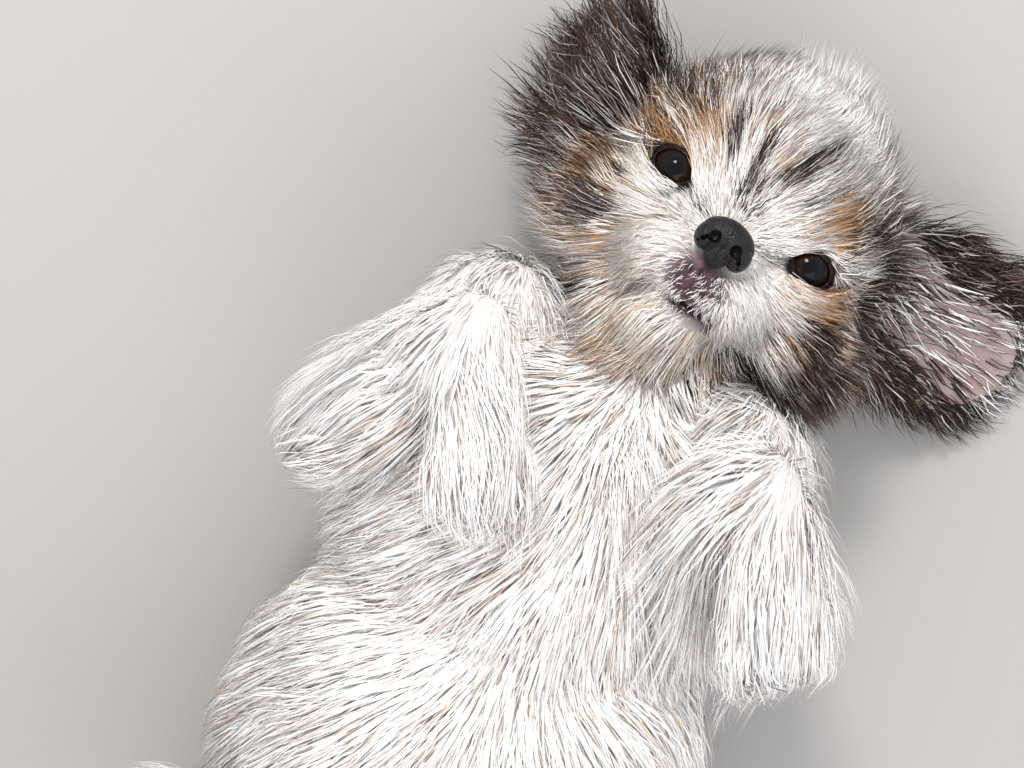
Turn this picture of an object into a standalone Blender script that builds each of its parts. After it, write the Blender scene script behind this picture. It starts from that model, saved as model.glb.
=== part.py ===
"""A shih tzu puppy about three months old, life size, lying on its back with its forepaws folded.

Metres. +Y points to the head, +Z up from the floor, and the puppy's left is at +X, because its belly is up.
The origin is on the floor, in the flat under the back.
"""

import bisect
import itertools
import math
import random

import bmesh
import bpy
from mathutils import Matrix, Vector
from mathutils.bvhtree import BVHTree

# Driving sizes of the head
EYE_SPACING = 0.0458
EYE_RADIUS = 0.0082
SKULL_HALF_WIDTH = 0.0365
MUZZLE_HALF_WIDTH = 0.0185
NOSE_HALF_WIDTH = 0.0086
NOSE_HALF_HEIGHT = 0.0065
NOSE_DEPTH = 0.0062
HEAD_TILT = math.radians(-9.0)
BETWEEN_EYES = Vector((0.0025, 0.073, 0.081))
EAR_HALF_WIDTH = 0.024
EAR_THICKNESS = 0.0030

# Driving sizes of the body, taken over the core of the coat
CHEST_HALF_WIDTH = 0.055
CHEST_DEPTH = 0.092
BELLY_HALF_WIDTH = 0.062
RUMP_HALF_WIDTH = 0.047

# Depth of the thick undercoat, which the locks rise from
UNDERCOAT = {"torso": 0.005, "neck": 0.003, "tail": 0.003, "leg": 0.003, "paw": 0.0008}

# Gaps and facets
GAP = 0.0004
CUTTER_GROWTH = 0.0003
FLOOR = 0.0
LOCK_CLEARANCE = 0.0009
LOCK_SPREAD = 1.02
COMB_SEED = 100
TINY = 1e-6
WELD = 6e-6

# The puppy's sides
LEFT, RIGHT = 1, -1
SIDE_NAMES = {LEFT: "left", RIGHT: "right"}
EAR_LENGTH = {LEFT: 0.069, RIGHT: 0.060}
EAR_FRINGE = {LEFT: 0.040, RIGHT: 0.032}

# Limbs, as the joints that the flesh runs through
SHOULDER = {LEFT: Vector((0.034, 0.014, 0.056)), RIGHT: Vector((-0.046, 0.014, 0.056))}
ELBOW = {LEFT: Vector((0.060, -0.030, 0.064)), RIGHT: Vector((-0.070, -0.032, 0.070))}
WRIST = {LEFT: Vector((0.041, 0.007, 0.114)), RIGHT: Vector((-0.050, 0.008, 0.114))}
FINGERTIP = {LEFT: Vector((0.071, -0.036, 0.100)), RIGHT: Vector((-0.024, -0.037, 0.110))}
HIP = {LEFT: Vector((0.032, -0.166, 0.044)), RIGHT: Vector((-0.028, -0.172, 0.044))}
STIFLE = {LEFT: Vector((0.070, -0.150, 0.067)), RIGHT: Vector((-0.060, -0.166, 0.070))}
HOCK = {LEFT: Vector((0.086, -0.196, 0.064)), RIGHT: Vector((-0.079, -0.211, 0.072))}
TOETIP = {LEFT: Vector((0.082, -0.232, 0.090)), RIGHT: Vector((-0.084, -0.243, 0.100))}
TAIL_ROUTE = (
    Vector((0.002, -0.188, 0.030)),
    Vector((0.006, -0.212, 0.018)),
    Vector((0.020, -0.236, 0.0125)),
    Vector((0.041, -0.252, 0.0110)),
    Vector((0.066, -0.258, 0.0100)),
)

# Colours, as linear red, green and blue
WHITE_COAT = (0.80, 0.75, 0.68)
MIXED_COAT = (0.42, 0.29, 0.18)
DARK_COAT = (0.055, 0.035, 0.026)
WET_BLACK = (0.012, 0.012, 0.014)
EYE_BROWN = (0.030, 0.014, 0.008)

head_frame = Matrix.Translation(BETWEEN_EYES) @ Matrix.Rotation(HEAD_TILT, 4, "Z")


def on_head(across, up, forward):
    """A point from between the eyes: across to the puppy's left, up to its crown, forward to its nose."""
    return head_frame @ Vector((across, up, forward))


def clear_scene():
    for obj in list(bpy.data.objects):
        bpy.data.objects.remove(obj)


def new_collection(name, shown=True):
    collection = bpy.data.collections.new(name)
    bpy.context.scene.collection.children.link(collection)
    collection.hide_render = not shown
    return collection


def material(name, colour, roughness):
    made = bpy.data.materials.new(name)
    made.use_nodes = True
    shader = made.node_tree.nodes["Principled BSDF"]
    shader.inputs["Base Color"].default_value = (*colour, 1.0)
    shader.inputs["Roughness"].default_value = roughness
    return made


def add_object(name, mesh_editor, collection):
    """Turns a bmesh into an object and frees it."""
    mesh = bpy.data.meshes.new(name)
    mesh_editor.to_mesh(mesh)
    mesh_editor.free()
    obj = bpy.data.objects.new(name, mesh)
    collection.objects.link(obj)
    return obj


def settle(obj):
    """Gives the object the mesh that its modifiers make, and drops them."""
    bpy.context.view_layer.update()
    graph = bpy.context.evaluated_depsgraph_get()
    mesh = bpy.data.meshes.new_from_object(obj.evaluated_get(graph))
    obj.modifiers.clear()
    obj.data = mesh
    return obj


def copy_of(obj, collection):
    twin = obj.copy()
    twin.data = obj.data.copy()
    collection.objects.link(twin)
    return twin


def triangle_count(obj):
    return sum(len(face.vertices) - 2 for face in obj.data.polygons)


def ball(mesh_editor, centre, radii, turn=None):
    """An ellipsoid, for what is blended into one surface."""
    turned = turn or Matrix.Identity(4)
    placed = Matrix.Translation(centre) @ turned @ Matrix.Diagonal((*radii, 1.0))
    bmesh.ops.create_uvsphere(mesh_editor, u_segments=24, v_segments=16, radius=1.0, matrix=placed)


def faceted_ball(mesh_editor, centre, radii, turn, rounds):
    """An ellipsoid of even facets, for what is used as it is."""
    placed = Matrix.Translation(centre) @ turn @ Matrix.Diagonal((*radii, 1.0))
    bmesh.ops.create_icosphere(mesh_editor, subdivisions=rounds, radius=1.0, matrix=placed)


def bone(mesh_editor, start, end, start_radius, end_radius):
    """A tapered length with round ends."""
    made = bmesh.ops.create_uvsphere(mesh_editor, u_segments=20, v_segments=12, radius=1.0)
    turn = (end - start).to_track_quat("Z", "Y")
    for vertex in made["verts"]:
        far = vertex.co.z > 0.05
        centre, radius = (end, end_radius) if far else (start, start_radius)
        vertex.co = centre + turn @ (vertex.co * radius)


def chain(mesh_editor, points, radii):
    """A limb of several lengths, each from one joint to the next."""
    for i in range(len(points) - 1):
        bone(mesh_editor, points[i], points[i + 1], radii[i], radii[i + 1])


def blend(name, shapes, collection, voxel, softness, triangles, coat=0.0):
    """One smooth body from overlapping shapes. shapes is a function that adds them to a bmesh."""
    mesh_editor = bmesh.new()
    shapes(mesh_editor)
    obj = add_object(name, mesh_editor, collection)
    remesh = obj.modifiers.new("one surface", "REMESH")
    remesh.mode = "VOXEL"
    remesh.voxel_size = voxel
    if coat:
        displace = obj.modifiers.new("coat", "DISPLACE")
        displace.strength = coat
        displace.mid_level = 0.0
        again = obj.modifiers.new("one surface again", "REMESH")
        again.mode = "VOXEL"
        again.voxel_size = voxel
    smooth = obj.modifiers.new("soften", "SMOOTH")
    smooth.factor = 0.5
    smooth.iterations = softness
    settle(obj)
    facets = obj.modifiers.new("facets", "DECIMATE")
    facets.ratio = min(1.0, triangles / triangle_count(obj))
    return settle(obj)


def flatten_on_floor(obj):
    """Cuts what reaches below the floor, which leaves a flat there."""
    mesh_editor = bmesh.new()
    mesh_editor.from_mesh(obj.data)
    everything = mesh_editor.verts[:] + mesh_editor.edges[:] + mesh_editor.faces[:]
    cut = bmesh.ops.bisect_plane(
        mesh_editor,
        geom=everything,
        dist=TINY,
        plane_co=(0.0, 0.0, FLOOR),
        plane_no=(0.0, 0.0, -1.0),
        clear_outer=True,
    )
    rim = [item for item in cut["geom_cut"] if isinstance(item, bmesh.types.BMEdge)]
    if rim:
        bmesh.ops.holes_fill(mesh_editor, edges=rim, sides=0)
    mesh_editor.to_mesh(obj.data)
    mesh_editor.free()
    return obj


def swollen(obj, growth, collection):
    """A copy that stands out from the object by growth all over, to cut a neighbour clear of it."""
    twin = copy_of(obj, collection)
    displace = twin.modifiers.new("growth", "DISPLACE")
    displace.strength = growth
    displace.mid_level = 0.0
    return settle(twin)


def keep_largest(obj):
    """Keeps the object's largest closed surface, and drops loose scraps and sealed hollows."""
    mesh_editor = bmesh.new()
    mesh_editor.from_mesh(obj.data)
    left = set(mesh_editor.verts)
    surfaces = []
    while left:
        grown = {left.pop()}
        edge_of_it = list(grown)
        while edge_of_it:
            vertex = edge_of_it.pop()
            for edge in vertex.link_edges:
                other = edge.other_vert(vertex)
                if other in left:
                    left.remove(other)
                    grown.add(other)
                    edge_of_it.append(other)
        surfaces.append(grown)
    surfaces.sort(key=len, reverse=True)
    for scrap in surfaces[1:]:
        bmesh.ops.delete(mesh_editor, geom=list(scrap), context="VERTS")
    mesh_editor.to_mesh(obj.data)
    mesh_editor.free()
    return obj


def combine(obj, others, operation, solver="MANIFOLD"):
    """One Boolean of the object with others, which are removed."""
    if not others:
        return obj
    tools = bpy.data.collections.new("boolean operands")
    bpy.context.scene.collection.children.link(tools)
    for other in others:
        tools.objects.link(other)
    modifier = obj.modifiers.new("combine", "BOOLEAN")
    modifier.operation = operation
    modifier.operand_type = "COLLECTION"
    modifier.collection = tools
    modifier.solver = solver
    settle(obj)
    for other in others:
        bpy.data.objects.remove(other)
    bpy.data.collections.remove(tools)
    return keep_largest(obj)


def faults(obj):
    """Joins points that all but coincide, and returns the places where the surface then isn't closed."""
    mesh_editor = bmesh.new()
    mesh_editor.from_mesh(obj.data)
    bmesh.ops.triangulate(mesh_editor, faces=mesh_editor.faces[:])
    bmesh.ops.remove_doubles(mesh_editor, verts=mesh_editor.verts[:], dist=WELD)
    bmesh.ops.dissolve_degenerate(mesh_editor, edges=mesh_editor.edges[:], dist=TINY)
    bmesh.ops.triangulate(mesh_editor, faces=mesh_editor.faces[:])
    open_edges = [edge for edge in mesh_editor.edges if not (edge.is_manifold and edge.is_contiguous)]
    found = [edge.verts[0].co.copy() for edge in open_edges]
    found += [vertex.co.copy() for vertex in mesh_editor.verts if not vertex.is_manifold]
    if not found:
        mesh_editor.to_mesh(obj.data)
    mesh_editor.free()
    return found


def fuse(obj, locks):
    """One union of a core and its locks. A lock that would leave an open or doubled edge is left out."""
    known = faults(obj)
    while locks:
        trial = copy_of(obj, helpers)
        combine(trial, [copy_of(made, helpers) for made in locks], "UNION")
        found = faults(trial)
        found = [place for place in found if all((place - other).length > WELD * 2 for other in known)]
        if not found:
            obj.data = trial.data
        bpy.data.objects.remove(trial)
        if not found:
            break
        worst = min(locks, key=lambda made: tree_of(made).find_nearest(found[0])[3])
        locks.remove(worst)
        bpy.data.objects.remove(worst)
    for made in locks:
        bpy.data.objects.remove(made)


def loft(mesh_editor, rings, tip=None):
    """A closed body through rings of equal counts, with a flat root and a pointed or flat end."""
    made = [[mesh_editor.verts.new(point) for point in ring] for ring in rings]
    count = len(made[0])
    mesh_editor.faces.new(list(reversed(made[0])))
    for near, far in zip(made, made[1:]):
        for i in range(count):
            j = (i + 1) % count
            mesh_editor.faces.new((near[i], near[j], far[j], far[i]))
    if tip is None:
        mesh_editor.faces.new(made[-1])
        return
    point = mesh_editor.verts.new(tip)
    for i in range(count):
        mesh_editor.faces.new((made[-1][i], made[-1][(i + 1) % count], point))


def torso_shapes(mesh_editor):
    """Rib cage, belly and rump of a body that lies on its back and bends a little to its left."""
    chest = (-0.005, -0.034, CHEST_DEPTH / 2 + 0.001)
    ball(mesh_editor, chest, (CHEST_HALF_WIDTH, 0.062, CHEST_DEPTH / 2 + 0.003))
    ball(mesh_editor, (0.003, -0.098, 0.0440), (BELLY_HALF_WIDTH, 0.078, 0.0462))
    ball(mesh_editor, (0.002, -0.156, 0.0390), (RUMP_HALF_WIDTH, 0.046, 0.0400))
    ball(mesh_editor, (-0.002, -0.045, 0.0240), (0.040, 0.105, 0.0280))
    for side in (LEFT, RIGHT):
        upper_arm = SHOULDER[side].lerp(ELBOW[side], 0.25)
        ball(mesh_editor, (upper_arm.x * 0.84, upper_arm.y, 0.046), (0.025, 0.030, 0.032))


def neck_shapes(mesh_editor):
    """A short thick neck, which the head's fur hides."""
    bone(mesh_editor, Vector((-0.003, 0.012, 0.040)), on_head(0, -0.018, -0.040), 0.034, 0.030)


def head_shapes(mesh_editor):
    """Skull, brow, cheeks, short muzzle, lip pads and chin."""
    half = EYE_SPACING / 2
    ball(mesh_editor, on_head(0, 0.002, -0.036), (0.0425, 0.0420, 0.0345))
    ball(mesh_editor, on_head(0, -0.033, -0.018), (0.0280, 0.0220, 0.0180))
    ball(mesh_editor, on_head(0, 0.009, -0.034), (SKULL_HALF_WIDTH, 0.0365, 0.0485))
    ball(mesh_editor, on_head(0, 0.016, -0.014), (0.030, 0.022, 0.020))
    ball(mesh_editor, on_head(0, -0.020, -0.003), (MUZZLE_HALF_WIDTH, 0.0145, 0.0195))
    ball(mesh_editor, on_head(0, -0.009, 0.003), (0.0110, 0.0085, 0.0130))
    ball(mesh_editor, on_head(0, -0.0325, -0.004), (0.0125, 0.0080, 0.0150))
    ball(mesh_editor, on_head(0, -0.029, -0.024), (0.027, 0.017, 0.024))
    for side in (LEFT, RIGHT):
        ball(mesh_editor, on_head(side * half * 0.93, 0.0095, -0.0075), (0.0120, 0.0085, 0.0105))
        ball(mesh_editor, on_head(side * 0.026, -0.013, -0.019), (0.0150, 0.0185, 0.0185))
        ball(mesh_editor, on_head(side * 0.0085, -0.0215, 0.0060), (0.0105, 0.0080, 0.0110))


def eye_centre(side):
    return on_head(side * EYE_SPACING / 2, 0.0, -0.0035)


def eye_gaze(side):
    """The way an eye looks, a little outward of straight ahead."""
    outward = math.radians(16.0) * side
    return head_frame.to_3x3() @ Vector((math.sin(outward), 0.0, math.cos(outward)))


def eye(side, collection):
    mesh_editor = bmesh.new()
    turn = eye_gaze(side).to_track_quat("Z", "Y").to_matrix().to_4x4()
    faceted_ball(mesh_editor, eye_centre(side), (EYE_RADIUS,) * 3, turn, 3)
    return add_object("eye_" + SIDE_NAMES[side], mesh_editor, collection)


def lid(side, collection):
    """The rim round one eye, as a ring with pointed corners."""
    opening, rim, corners = EYE_RADIUS * 0.86, 0.0019, 1.10
    gaze = eye_gaze(side)
    up = (head_frame.to_3x3() @ Vector((0, 1, 0))).normalized()
    across = up.cross(gaze).normalized()
    up = gaze.cross(across).normalized()
    centre = eye_centre(side) + gaze * EYE_RADIUS * 0.42
    mesh_editor = bmesh.new()
    steps, sides = 14, 5
    rings = []
    for i in range(steps):
        angle = 2 * math.pi * i / steps
        out = across * math.cos(angle) * corners + up * math.sin(angle) * 0.92
        middle = centre + out * opening
        outward = out.normalized()
        ring = []
        for k in range(sides):
            turn_angle = 2 * math.pi * k / sides
            ring.append(middle + (outward * math.cos(turn_angle) + gaze * math.sin(turn_angle)) * rim)
        rings.append([mesh_editor.verts.new(point) for point in ring])
    for i in range(steps):
        near, far = rings[i], rings[(i + 1) % steps]
        for k in range(sides):
            j = (k + 1) % sides
            mesh_editor.faces.new((near[k], near[j], far[j], far[k]))
    bmesh.ops.recalc_face_normals(mesh_editor, faces=mesh_editor.faces[:])
    return add_object("lid", mesh_editor, collection)


def nose_centre():
    return on_head(0, -0.0105, 0.0175)


def nose_shapes(mesh_editor):
    """The nose leather: a pad with a rounded top and two wings."""
    across = head_frame.to_3x3() @ Vector((1, 0, 0))
    up = head_frame.to_3x3() @ Vector((0, 1, 0))
    out = head_frame.to_3x3() @ Vector((0, 0, 1))
    turn = head_frame.to_quaternion().to_matrix().to_4x4()
    centre = nose_centre()
    ball(mesh_editor, centre + up * 0.0010, (NOSE_HALF_WIDTH, NOSE_HALF_HEIGHT, NOSE_DEPTH), turn)
    ball(mesh_editor, centre - up * 0.0030, (0.0042, 0.0048, NOSE_DEPTH * 0.94), turn)
    for side in (LEFT, RIGHT):
        wing = centre + across * side * 0.0055 - up * 0.0008 + out * 0.0004
        ball(mesh_editor, wing, (0.0036, 0.0044, NOSE_DEPTH * 0.92), turn)


def nostril(side, collection):
    """A comma-shaped hole: a round one in front and a slit that leads outward."""
    turn = head_frame.to_quaternion().to_matrix().to_4x4()
    mesh_editor = bmesh.new()
    hole = nose_centre() + (head_frame.to_3x3() @ Vector((side * 0.0036, -0.0004, NOSE_DEPTH)))
    faceted_ball(mesh_editor, hole, (0.0017, 0.0021, 0.0032), turn, 2)
    return add_object("nostril", mesh_editor, collection)


def mouth_point(share, depth):
    """A point of the mouth's line, from one corner at -1 to the other at 1."""
    across = 0.0150 * share
    up = -0.0290 - 0.0022 * math.cos(share * math.pi / 2) + 0.0012 * abs(share)
    forward = 0.0085 - 0.0115 * share * share - depth
    return on_head(across, up, forward)


def mouth_line(radius, depth, collection, name):
    """A tube along the mouth's line, to cut the gap between the lips or to raise a lip."""
    steps, sides = 8, 6
    rings = []
    for i in range(steps + 1):
        share = -1 + 2 * i / steps
        middle = mouth_point(share, depth)
        along = (mouth_point(share + 0.05, depth) - mouth_point(share - 0.05, depth)).normalized()
        up = (head_frame.to_3x3() @ Vector((0, 1, 0))).normalized()
        out = along.cross(up).normalized()
        rise = out.cross(along).normalized()
        size = radius * math.sqrt(max(0.12, 1 - share * share * 0.85))
        ring = []
        for k in range(sides):
            angle = 2 * math.pi * k / sides
            ring.append(middle + out * math.cos(angle) * size * 1.6 + rise * math.sin(angle) * size)
        rings.append(ring)
    mesh_editor = bmesh.new()
    loft(mesh_editor, rings)
    bmesh.ops.recalc_face_normals(mesh_editor, faces=mesh_editor.faces[:])
    return add_object(name, mesh_editor, collection)


def foreleg_shapes(side):
    def shapes(mesh_editor):
        points = (SHOULDER[side], ELBOW[side], WRIST[side])
        chain(mesh_editor, points, (0.0200, 0.0135, 0.0115))
    return shapes


def hindleg_shapes(side):
    def shapes(mesh_editor):
        points = (HIP[side], STIFLE[side], HOCK[side])
        chain(mesh_editor, points, (0.0290, 0.0175, 0.0115))
    return shapes


def paw_shapes(joint, tip, sole, half_width):
    """A paw from its joint to its toes, with four toes, the large pad and a pad under each toe."""
    def shapes(mesh_editor):
        along = (tip - joint).normalized()
        across = along.cross(sole).normalized()
        under = across.cross(along).normalized()
        reach = (tip - joint).length
        bone(mesh_editor, joint, joint + along * reach * 0.62, 0.0112, 0.0120)
        middle = joint + along * reach * 0.66
        turn = Matrix((across, under, along)).transposed().to_4x4()
        ball(mesh_editor, middle, (half_width, 0.0098, 0.0150), turn)
        ball(mesh_editor, middle + under * 0.0075 - along * 0.0010, (0.0075, 0.0045, 0.0060), turn)
        for i in range(4):
            place = (i - 1.5) / 1.5
            length = reach * (0.84 - 0.05 * abs(place))
            toe = joint + along * length + across * place * half_width * 0.62
            ball(mesh_editor, toe, (0.0046, 0.0062, 0.0092), turn)
            ball(mesh_editor, toe + under * 0.0048 + along * 0.0018, (0.0033, 0.0026, 0.0038), turn)
    return shapes


FOREPAW_SOLE = {LEFT: Vector((0.25, -0.35, -1.0)), RIGHT: Vector((-0.2, -0.2, -1.0))}
HINDPAW_SOLE = {LEFT: Vector((0.2, -0.9, 0.35)), RIGHT: Vector((-0.2, -0.9, 0.35))}


def tail_shapes(mesh_editor):
    chain(mesh_editor, TAIL_ROUTE, (0.0125, 0.0115, 0.0100, 0.0085, 0.0065))


def ear_outline(share):
    """Half the ear's width at a share of its length: narrow at the root, widest past the middle."""
    return EAR_HALF_WIDTH * (0.46 + 0.54 * math.sin(math.pi * min(1.0, share * 0.92 + 0.06)) ** 0.8) * (
        1.0 if share < 0.8 else math.sqrt(max(0.10, 1 - ((share - 0.8) / 0.215) ** 2))
    )


def ear_leaf(side):
    """Gives points of the ear's middle surface: the left ear lies spread, the right one is flopped over."""
    def spread(share, breadth):
        fall = 0.0405 * (1 - share) ** 1.7 + 0.0045
        along = 0.033 + EAR_LENGTH[LEFT] * share
        cup = 0.0110 * breadth * breadth * (1 - share) ** 0.6
        across = 0.002 + breadth * ear_outline(share) + 0.005 * share
        point = on_head(along, 0.010 + across, 0.0)
        return Vector((point.x, point.y, fall + cup))

    def flopped(share, breadth):
        bend = max(0.0, share - 0.38)
        along = 0.034 + EAR_LENGTH[RIGHT] * (0.74 * share - 0.42 * bend * bend)
        height = 0.0465 + 0.010 * math.sin(math.pi * min(1.0, share / 0.7)) - 0.068 * bend ** 1.4
        curl = 0.0120 * max(0.0, breadth) ** 3 * (0.5 + share)
        point = on_head(-along, 0.003 + breadth * ear_outline(share) * 0.95 + 0.008 * share, 0.0)
        droop = 0.004 * breadth * breadth
        return Vector((point.x, point.y, max(0.006, height - droop) + curl))

    return spread if side == LEFT else flopped


def ear(side, collection):
    """The ear's leather: an open sheet given its thickness."""
    place = ear_leaf(side)
    mesh_editor = bmesh.new()
    columns, rows = 8, 6
    bmesh.ops.create_grid(mesh_editor, x_segments=columns, y_segments=rows, size=1.0)
    for vertex in mesh_editor.verts:
        vertex.co = place((vertex.co.x + 1) / 2, vertex.co.y)
    obj = add_object("ear_" + SIDE_NAMES[side], mesh_editor, collection)
    thicken = obj.modifiers.new("leather", "SOLIDIFY")
    thicken.thickness = EAR_THICKNESS
    thicken.offset = 0.0
    settle(obj)
    mesh_editor = bmesh.new()
    mesh_editor.from_mesh(obj.data)
    root_start = on_head(side * 0.030, 0.010, -0.036)
    root_end = place(0.16, 0.0)
    bone(mesh_editor, root_start, root_end, 0.0105, 0.0068)
    mesh_editor.to_mesh(obj.data)
    mesh_editor.free()
    remesh = obj.modifiers.new("one surface", "REMESH")
    remesh.mode = "VOXEL"
    remesh.voxel_size = 0.0011
    smooth = obj.modifiers.new("soften", "SMOOTH")
    smooth.iterations = 2
    settle(obj)
    facets = obj.modifiers.new("facets", "DECIMATE")
    facets.ratio = 260 / triangle_count(obj)
    return settle(obj)


def tree_of(obj):
    """A search tree of the object's surface."""
    mesh = obj.data
    places = [vertex.co.copy() for vertex in mesh.vertices]
    return BVHTree.FromPolygons(places, [tuple(face.vertices) for face in mesh.polygons])


def outside(obj, growth):
    """The cutter that keeps a neighbour this far from the object."""
    return swollen(obj, growth, helpers)


def build_cores():
    """Every node's body without its coat, parted from its neighbours by thin gaps."""
    cores = {}
    cores["torso"] = flatten_on_floor(blend("torso", torso_shapes, model, 0.0030, 8, 440, UNDERCOAT["torso"]))
    cores["head"] = flatten_on_floor(blend("head", head_shapes, model, 0.0020, 4, 760))
    cores["neck"] = flatten_on_floor(blend("neck", neck_shapes, model, 0.0030, 4, 120, UNDERCOAT["neck"]))
    cores["nose"] = blend("nose", nose_shapes, model, 0.0007, 3, 240)
    cores["tail"] = flatten_on_floor(blend("tail", tail_shapes, model, 0.0022, 4, 160, UNDERCOAT["tail"]))
    leg, paw = UNDERCOAT["leg"], UNDERCOAT["paw"]
    for side in (LEFT, RIGHT):
        name = SIDE_NAMES[side]
        cores["eye_" + name] = eye(side, model)
        cores["ear_" + name] = flatten_on_floor(ear(side, model))
        cores["foreleg_" + name] = blend("foreleg_" + name, foreleg_shapes(side), model, 0.0022, 4, 180, leg)
        cores["hindleg_" + name] = blend("hindleg_" + name, hindleg_shapes(side), model, 0.0026, 4, 180, leg)
        forepaw = paw_shapes(WRIST[side], FINGERTIP[side], FOREPAW_SOLE[side], 0.0135)
        cores["forepaw_" + name] = blend("forepaw_" + name, forepaw, model, 0.0013, 2, 180, paw)
        hindpaw = paw_shapes(HOCK[side], TOETIP[side], HINDPAW_SOLE[side], 0.0130)
        cores["hindpaw_" + name] = blend("hindpaw_" + name, hindpaw, model, 0.0013, 2, 180, paw)
    part_cores(cores)
    return cores


def part_cores(cores):
    """Cuts each core clear of what it grows from."""
    head = cores["head"]
    combine(head, [lid(LEFT, helpers), lid(RIGHT, helpers)], "UNION")
    combine(head, [mouth_line(0.0026, 0.0006, helpers, "lips")], "UNION")
    sockets = [outside(cores[name], GAP) for name in ("eye_left", "eye_right", "nose")]
    combine(head, sockets + [mouth_line(0.0010, -0.0012, helpers, "gap between lips")], "DIFFERENCE")
    combine(cores["nose"], [nostril(LEFT, helpers), nostril(RIGHT, helpers)], "DIFFERENCE")
    cuts = [("torso", ("head",)), ("neck", ("head", "torso")), ("tail", ("torso",))]
    for side in ("left", "right"):
        cuts.append(("ear_" + side, ("head", "neck")))
        cuts.append(("foreleg_" + side, ("torso", "neck", "head")))
        cuts.append(("forepaw_" + side, ("foreleg_" + side, "torso", "head")))
        cuts.append(("hindleg_" + side, ("torso", "tail")))
        cuts.append(("hindpaw_" + side, ("hindleg_" + side, "torso", "tail")))
    for name, neighbours in cuts:
        combine(cores[name], [outside(cores[other], GAP) for other in neighbours], "DIFFERENCE")


def flat_along(vector, normal):
    """The part of a vector that lies along a surface."""
    return vector - normal * vector.dot(normal)


def torso_lie(point, normal):
    """Over chest and belly the coat runs tailward and out from the midline, and it falls down the flanks."""
    part = max(-1.0, min(1.0, (point.x + 0.002) / 0.030))
    return Vector((part * 0.9, -0.75, -0.25 - 0.65 * (1.0 - max(0.0, normal.z))))


def neck_lie(point, normal):
    """Sideways from under the head, as a ruff."""
    return Vector((math.copysign(1.0, point.x), 0.15, -0.25))


def in_beard(point):
    """Whether a place is on the chin or the lower cheeks, below the mouth."""
    place = head_frame.inverted() @ point
    return place.y < -0.0300 and place.z > -0.034


def beard_lie(point, normal):
    """The beard runs tailward and out over the top of the chest."""
    place = head_frame.inverted() @ point
    return head_frame.to_3x3() @ Vector((place.x * 22, -1.0, 0.10))


def fringe_lie(point, normal):
    """The long fringe on the left foreleg's inner side falls over the chest."""
    return Vector((-0.70, -0.72, -0.22))


def head_lie(point, normal):
    """The face's coat fans out from the nose, and its outer hair hangs."""
    out = point - on_head(0.0, -0.006, 0.012)
    return out.normalized() + Vector((0, 0, -0.12))


def foreleg_lie(side):
    """From the wrist down over the outside of the folded leg, and in a fringe on its inner side."""
    def lie(point, normal):
        inward = -side * (point.x - WRIST[side].x)
        spread = -side * 0.5 if inward > 0.004 else side * 0.75
        return Vector((spread, -0.75, -0.45))
    return lie


def paw_lie(joint, tip):
    def lie(point, normal):
        along = (tip - joint).normalized()
        across = flat_along(point - joint, along)
        return along + across * 16
    return lie


def hindleg_lie(side):
    def lie(point, normal):
        upper = point.y > HOCK[side].y + 0.03 and abs(point.x) < 0.06
        along = (STIFLE[side] - HIP[side]) if upper else (HOCK[side] - STIFLE[side])
        return along.normalized() + Vector((side * 0.25, -0.2, -0.5))
    return lie


def ear_lie(side):
    """From the ear's root to its tip, and outward at its edges."""
    root, tip = ear_leaf(side)(0.0, 0.0), ear_leaf(side)(0.8, 0.0)

    def lie(point, normal):
        along = (tip - root).normalized()
        across = flat_along(point - root, along)
        return along * 1.1 + across * 26
    return lie


def tail_lie(point, normal):
    """From the tail's root to its tip, fanning out to both sides."""
    nearest = min(range(4), key=lambda i: (TAIL_ROUTE[i].lerp(TAIL_ROUTE[i + 1], 0.5) - point).length)
    start, end = TAIL_ROUTE[nearest], TAIL_ROUTE[nearest + 1]
    along = (end - start).normalized()
    return along + flat_along(point - start, along) * 40


def face_size(point):
    """How large the head's locks are at a place: short by the nose, long at the cheeks, crown and beard."""
    from_nose = (point - nose_centre()).length
    return max(0.55, min(1.25, 0.40 + from_nose * 13))


def over_eye_or_mouth(point):
    """Whether hair here would cover an eye, the nose leather or the mouth."""
    for side in (LEFT, RIGHT):
        away = point - eye_centre(side)
        gaze = eye_gaze(side)
        depth = away.dot(gaze)
        if depth > -0.002 and (away - gaze * depth).length < 0.0088:
            return True
    if (point - nose_centre()).length < 0.0108:
        return True
    return min((point - mouth_point(share, 0)).length for share in (-0.7, -0.35, 0, 0.35, 0.7)) < 0.0040


class Coat:
    """The locks of one node: where their roots sit, how they lie and how large they are."""

    def __init__(
        self, lie, spacing, length, width, thickness, lift, rise, grows, size=None, bars=None, most=99
    ):
        self.lie = lie
        self.spacing = spacing * LOCK_SPREAD
        self.length = length
        self.width = width * LOCK_SPREAD
        self.thickness = thickness
        self.lift = lift
        self.rise = rise
        self.grows = grows
        self.size = size or (lambda point: 1.0)
        self.bars = bars or (lambda point: False)
        self.most = most


def above_soles(sole):
    def grows(point, normal):
        return normal.dot(sole.normalized()) < 0.35
    return grows


def on_ear(side):
    """On the right ear's back, which is up, and round the rims of both."""
    root, tip = ear_leaf(side)(0.0, 0.0), ear_leaf(side)(1.0, 0.0)

    def grows(point, normal):
        along = (tip - root).normalized()
        share = (point - root).dot(along) / (tip - root).length
        across = flat_along(point - root, along).length
        rim = across > 0.013 or share > 0.72
        back = normal.z > 0.3 and side == RIGHT or normal.z < -0.3 and side == LEFT
        return share > 0.10 and (rim or back)
    return grows


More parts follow.
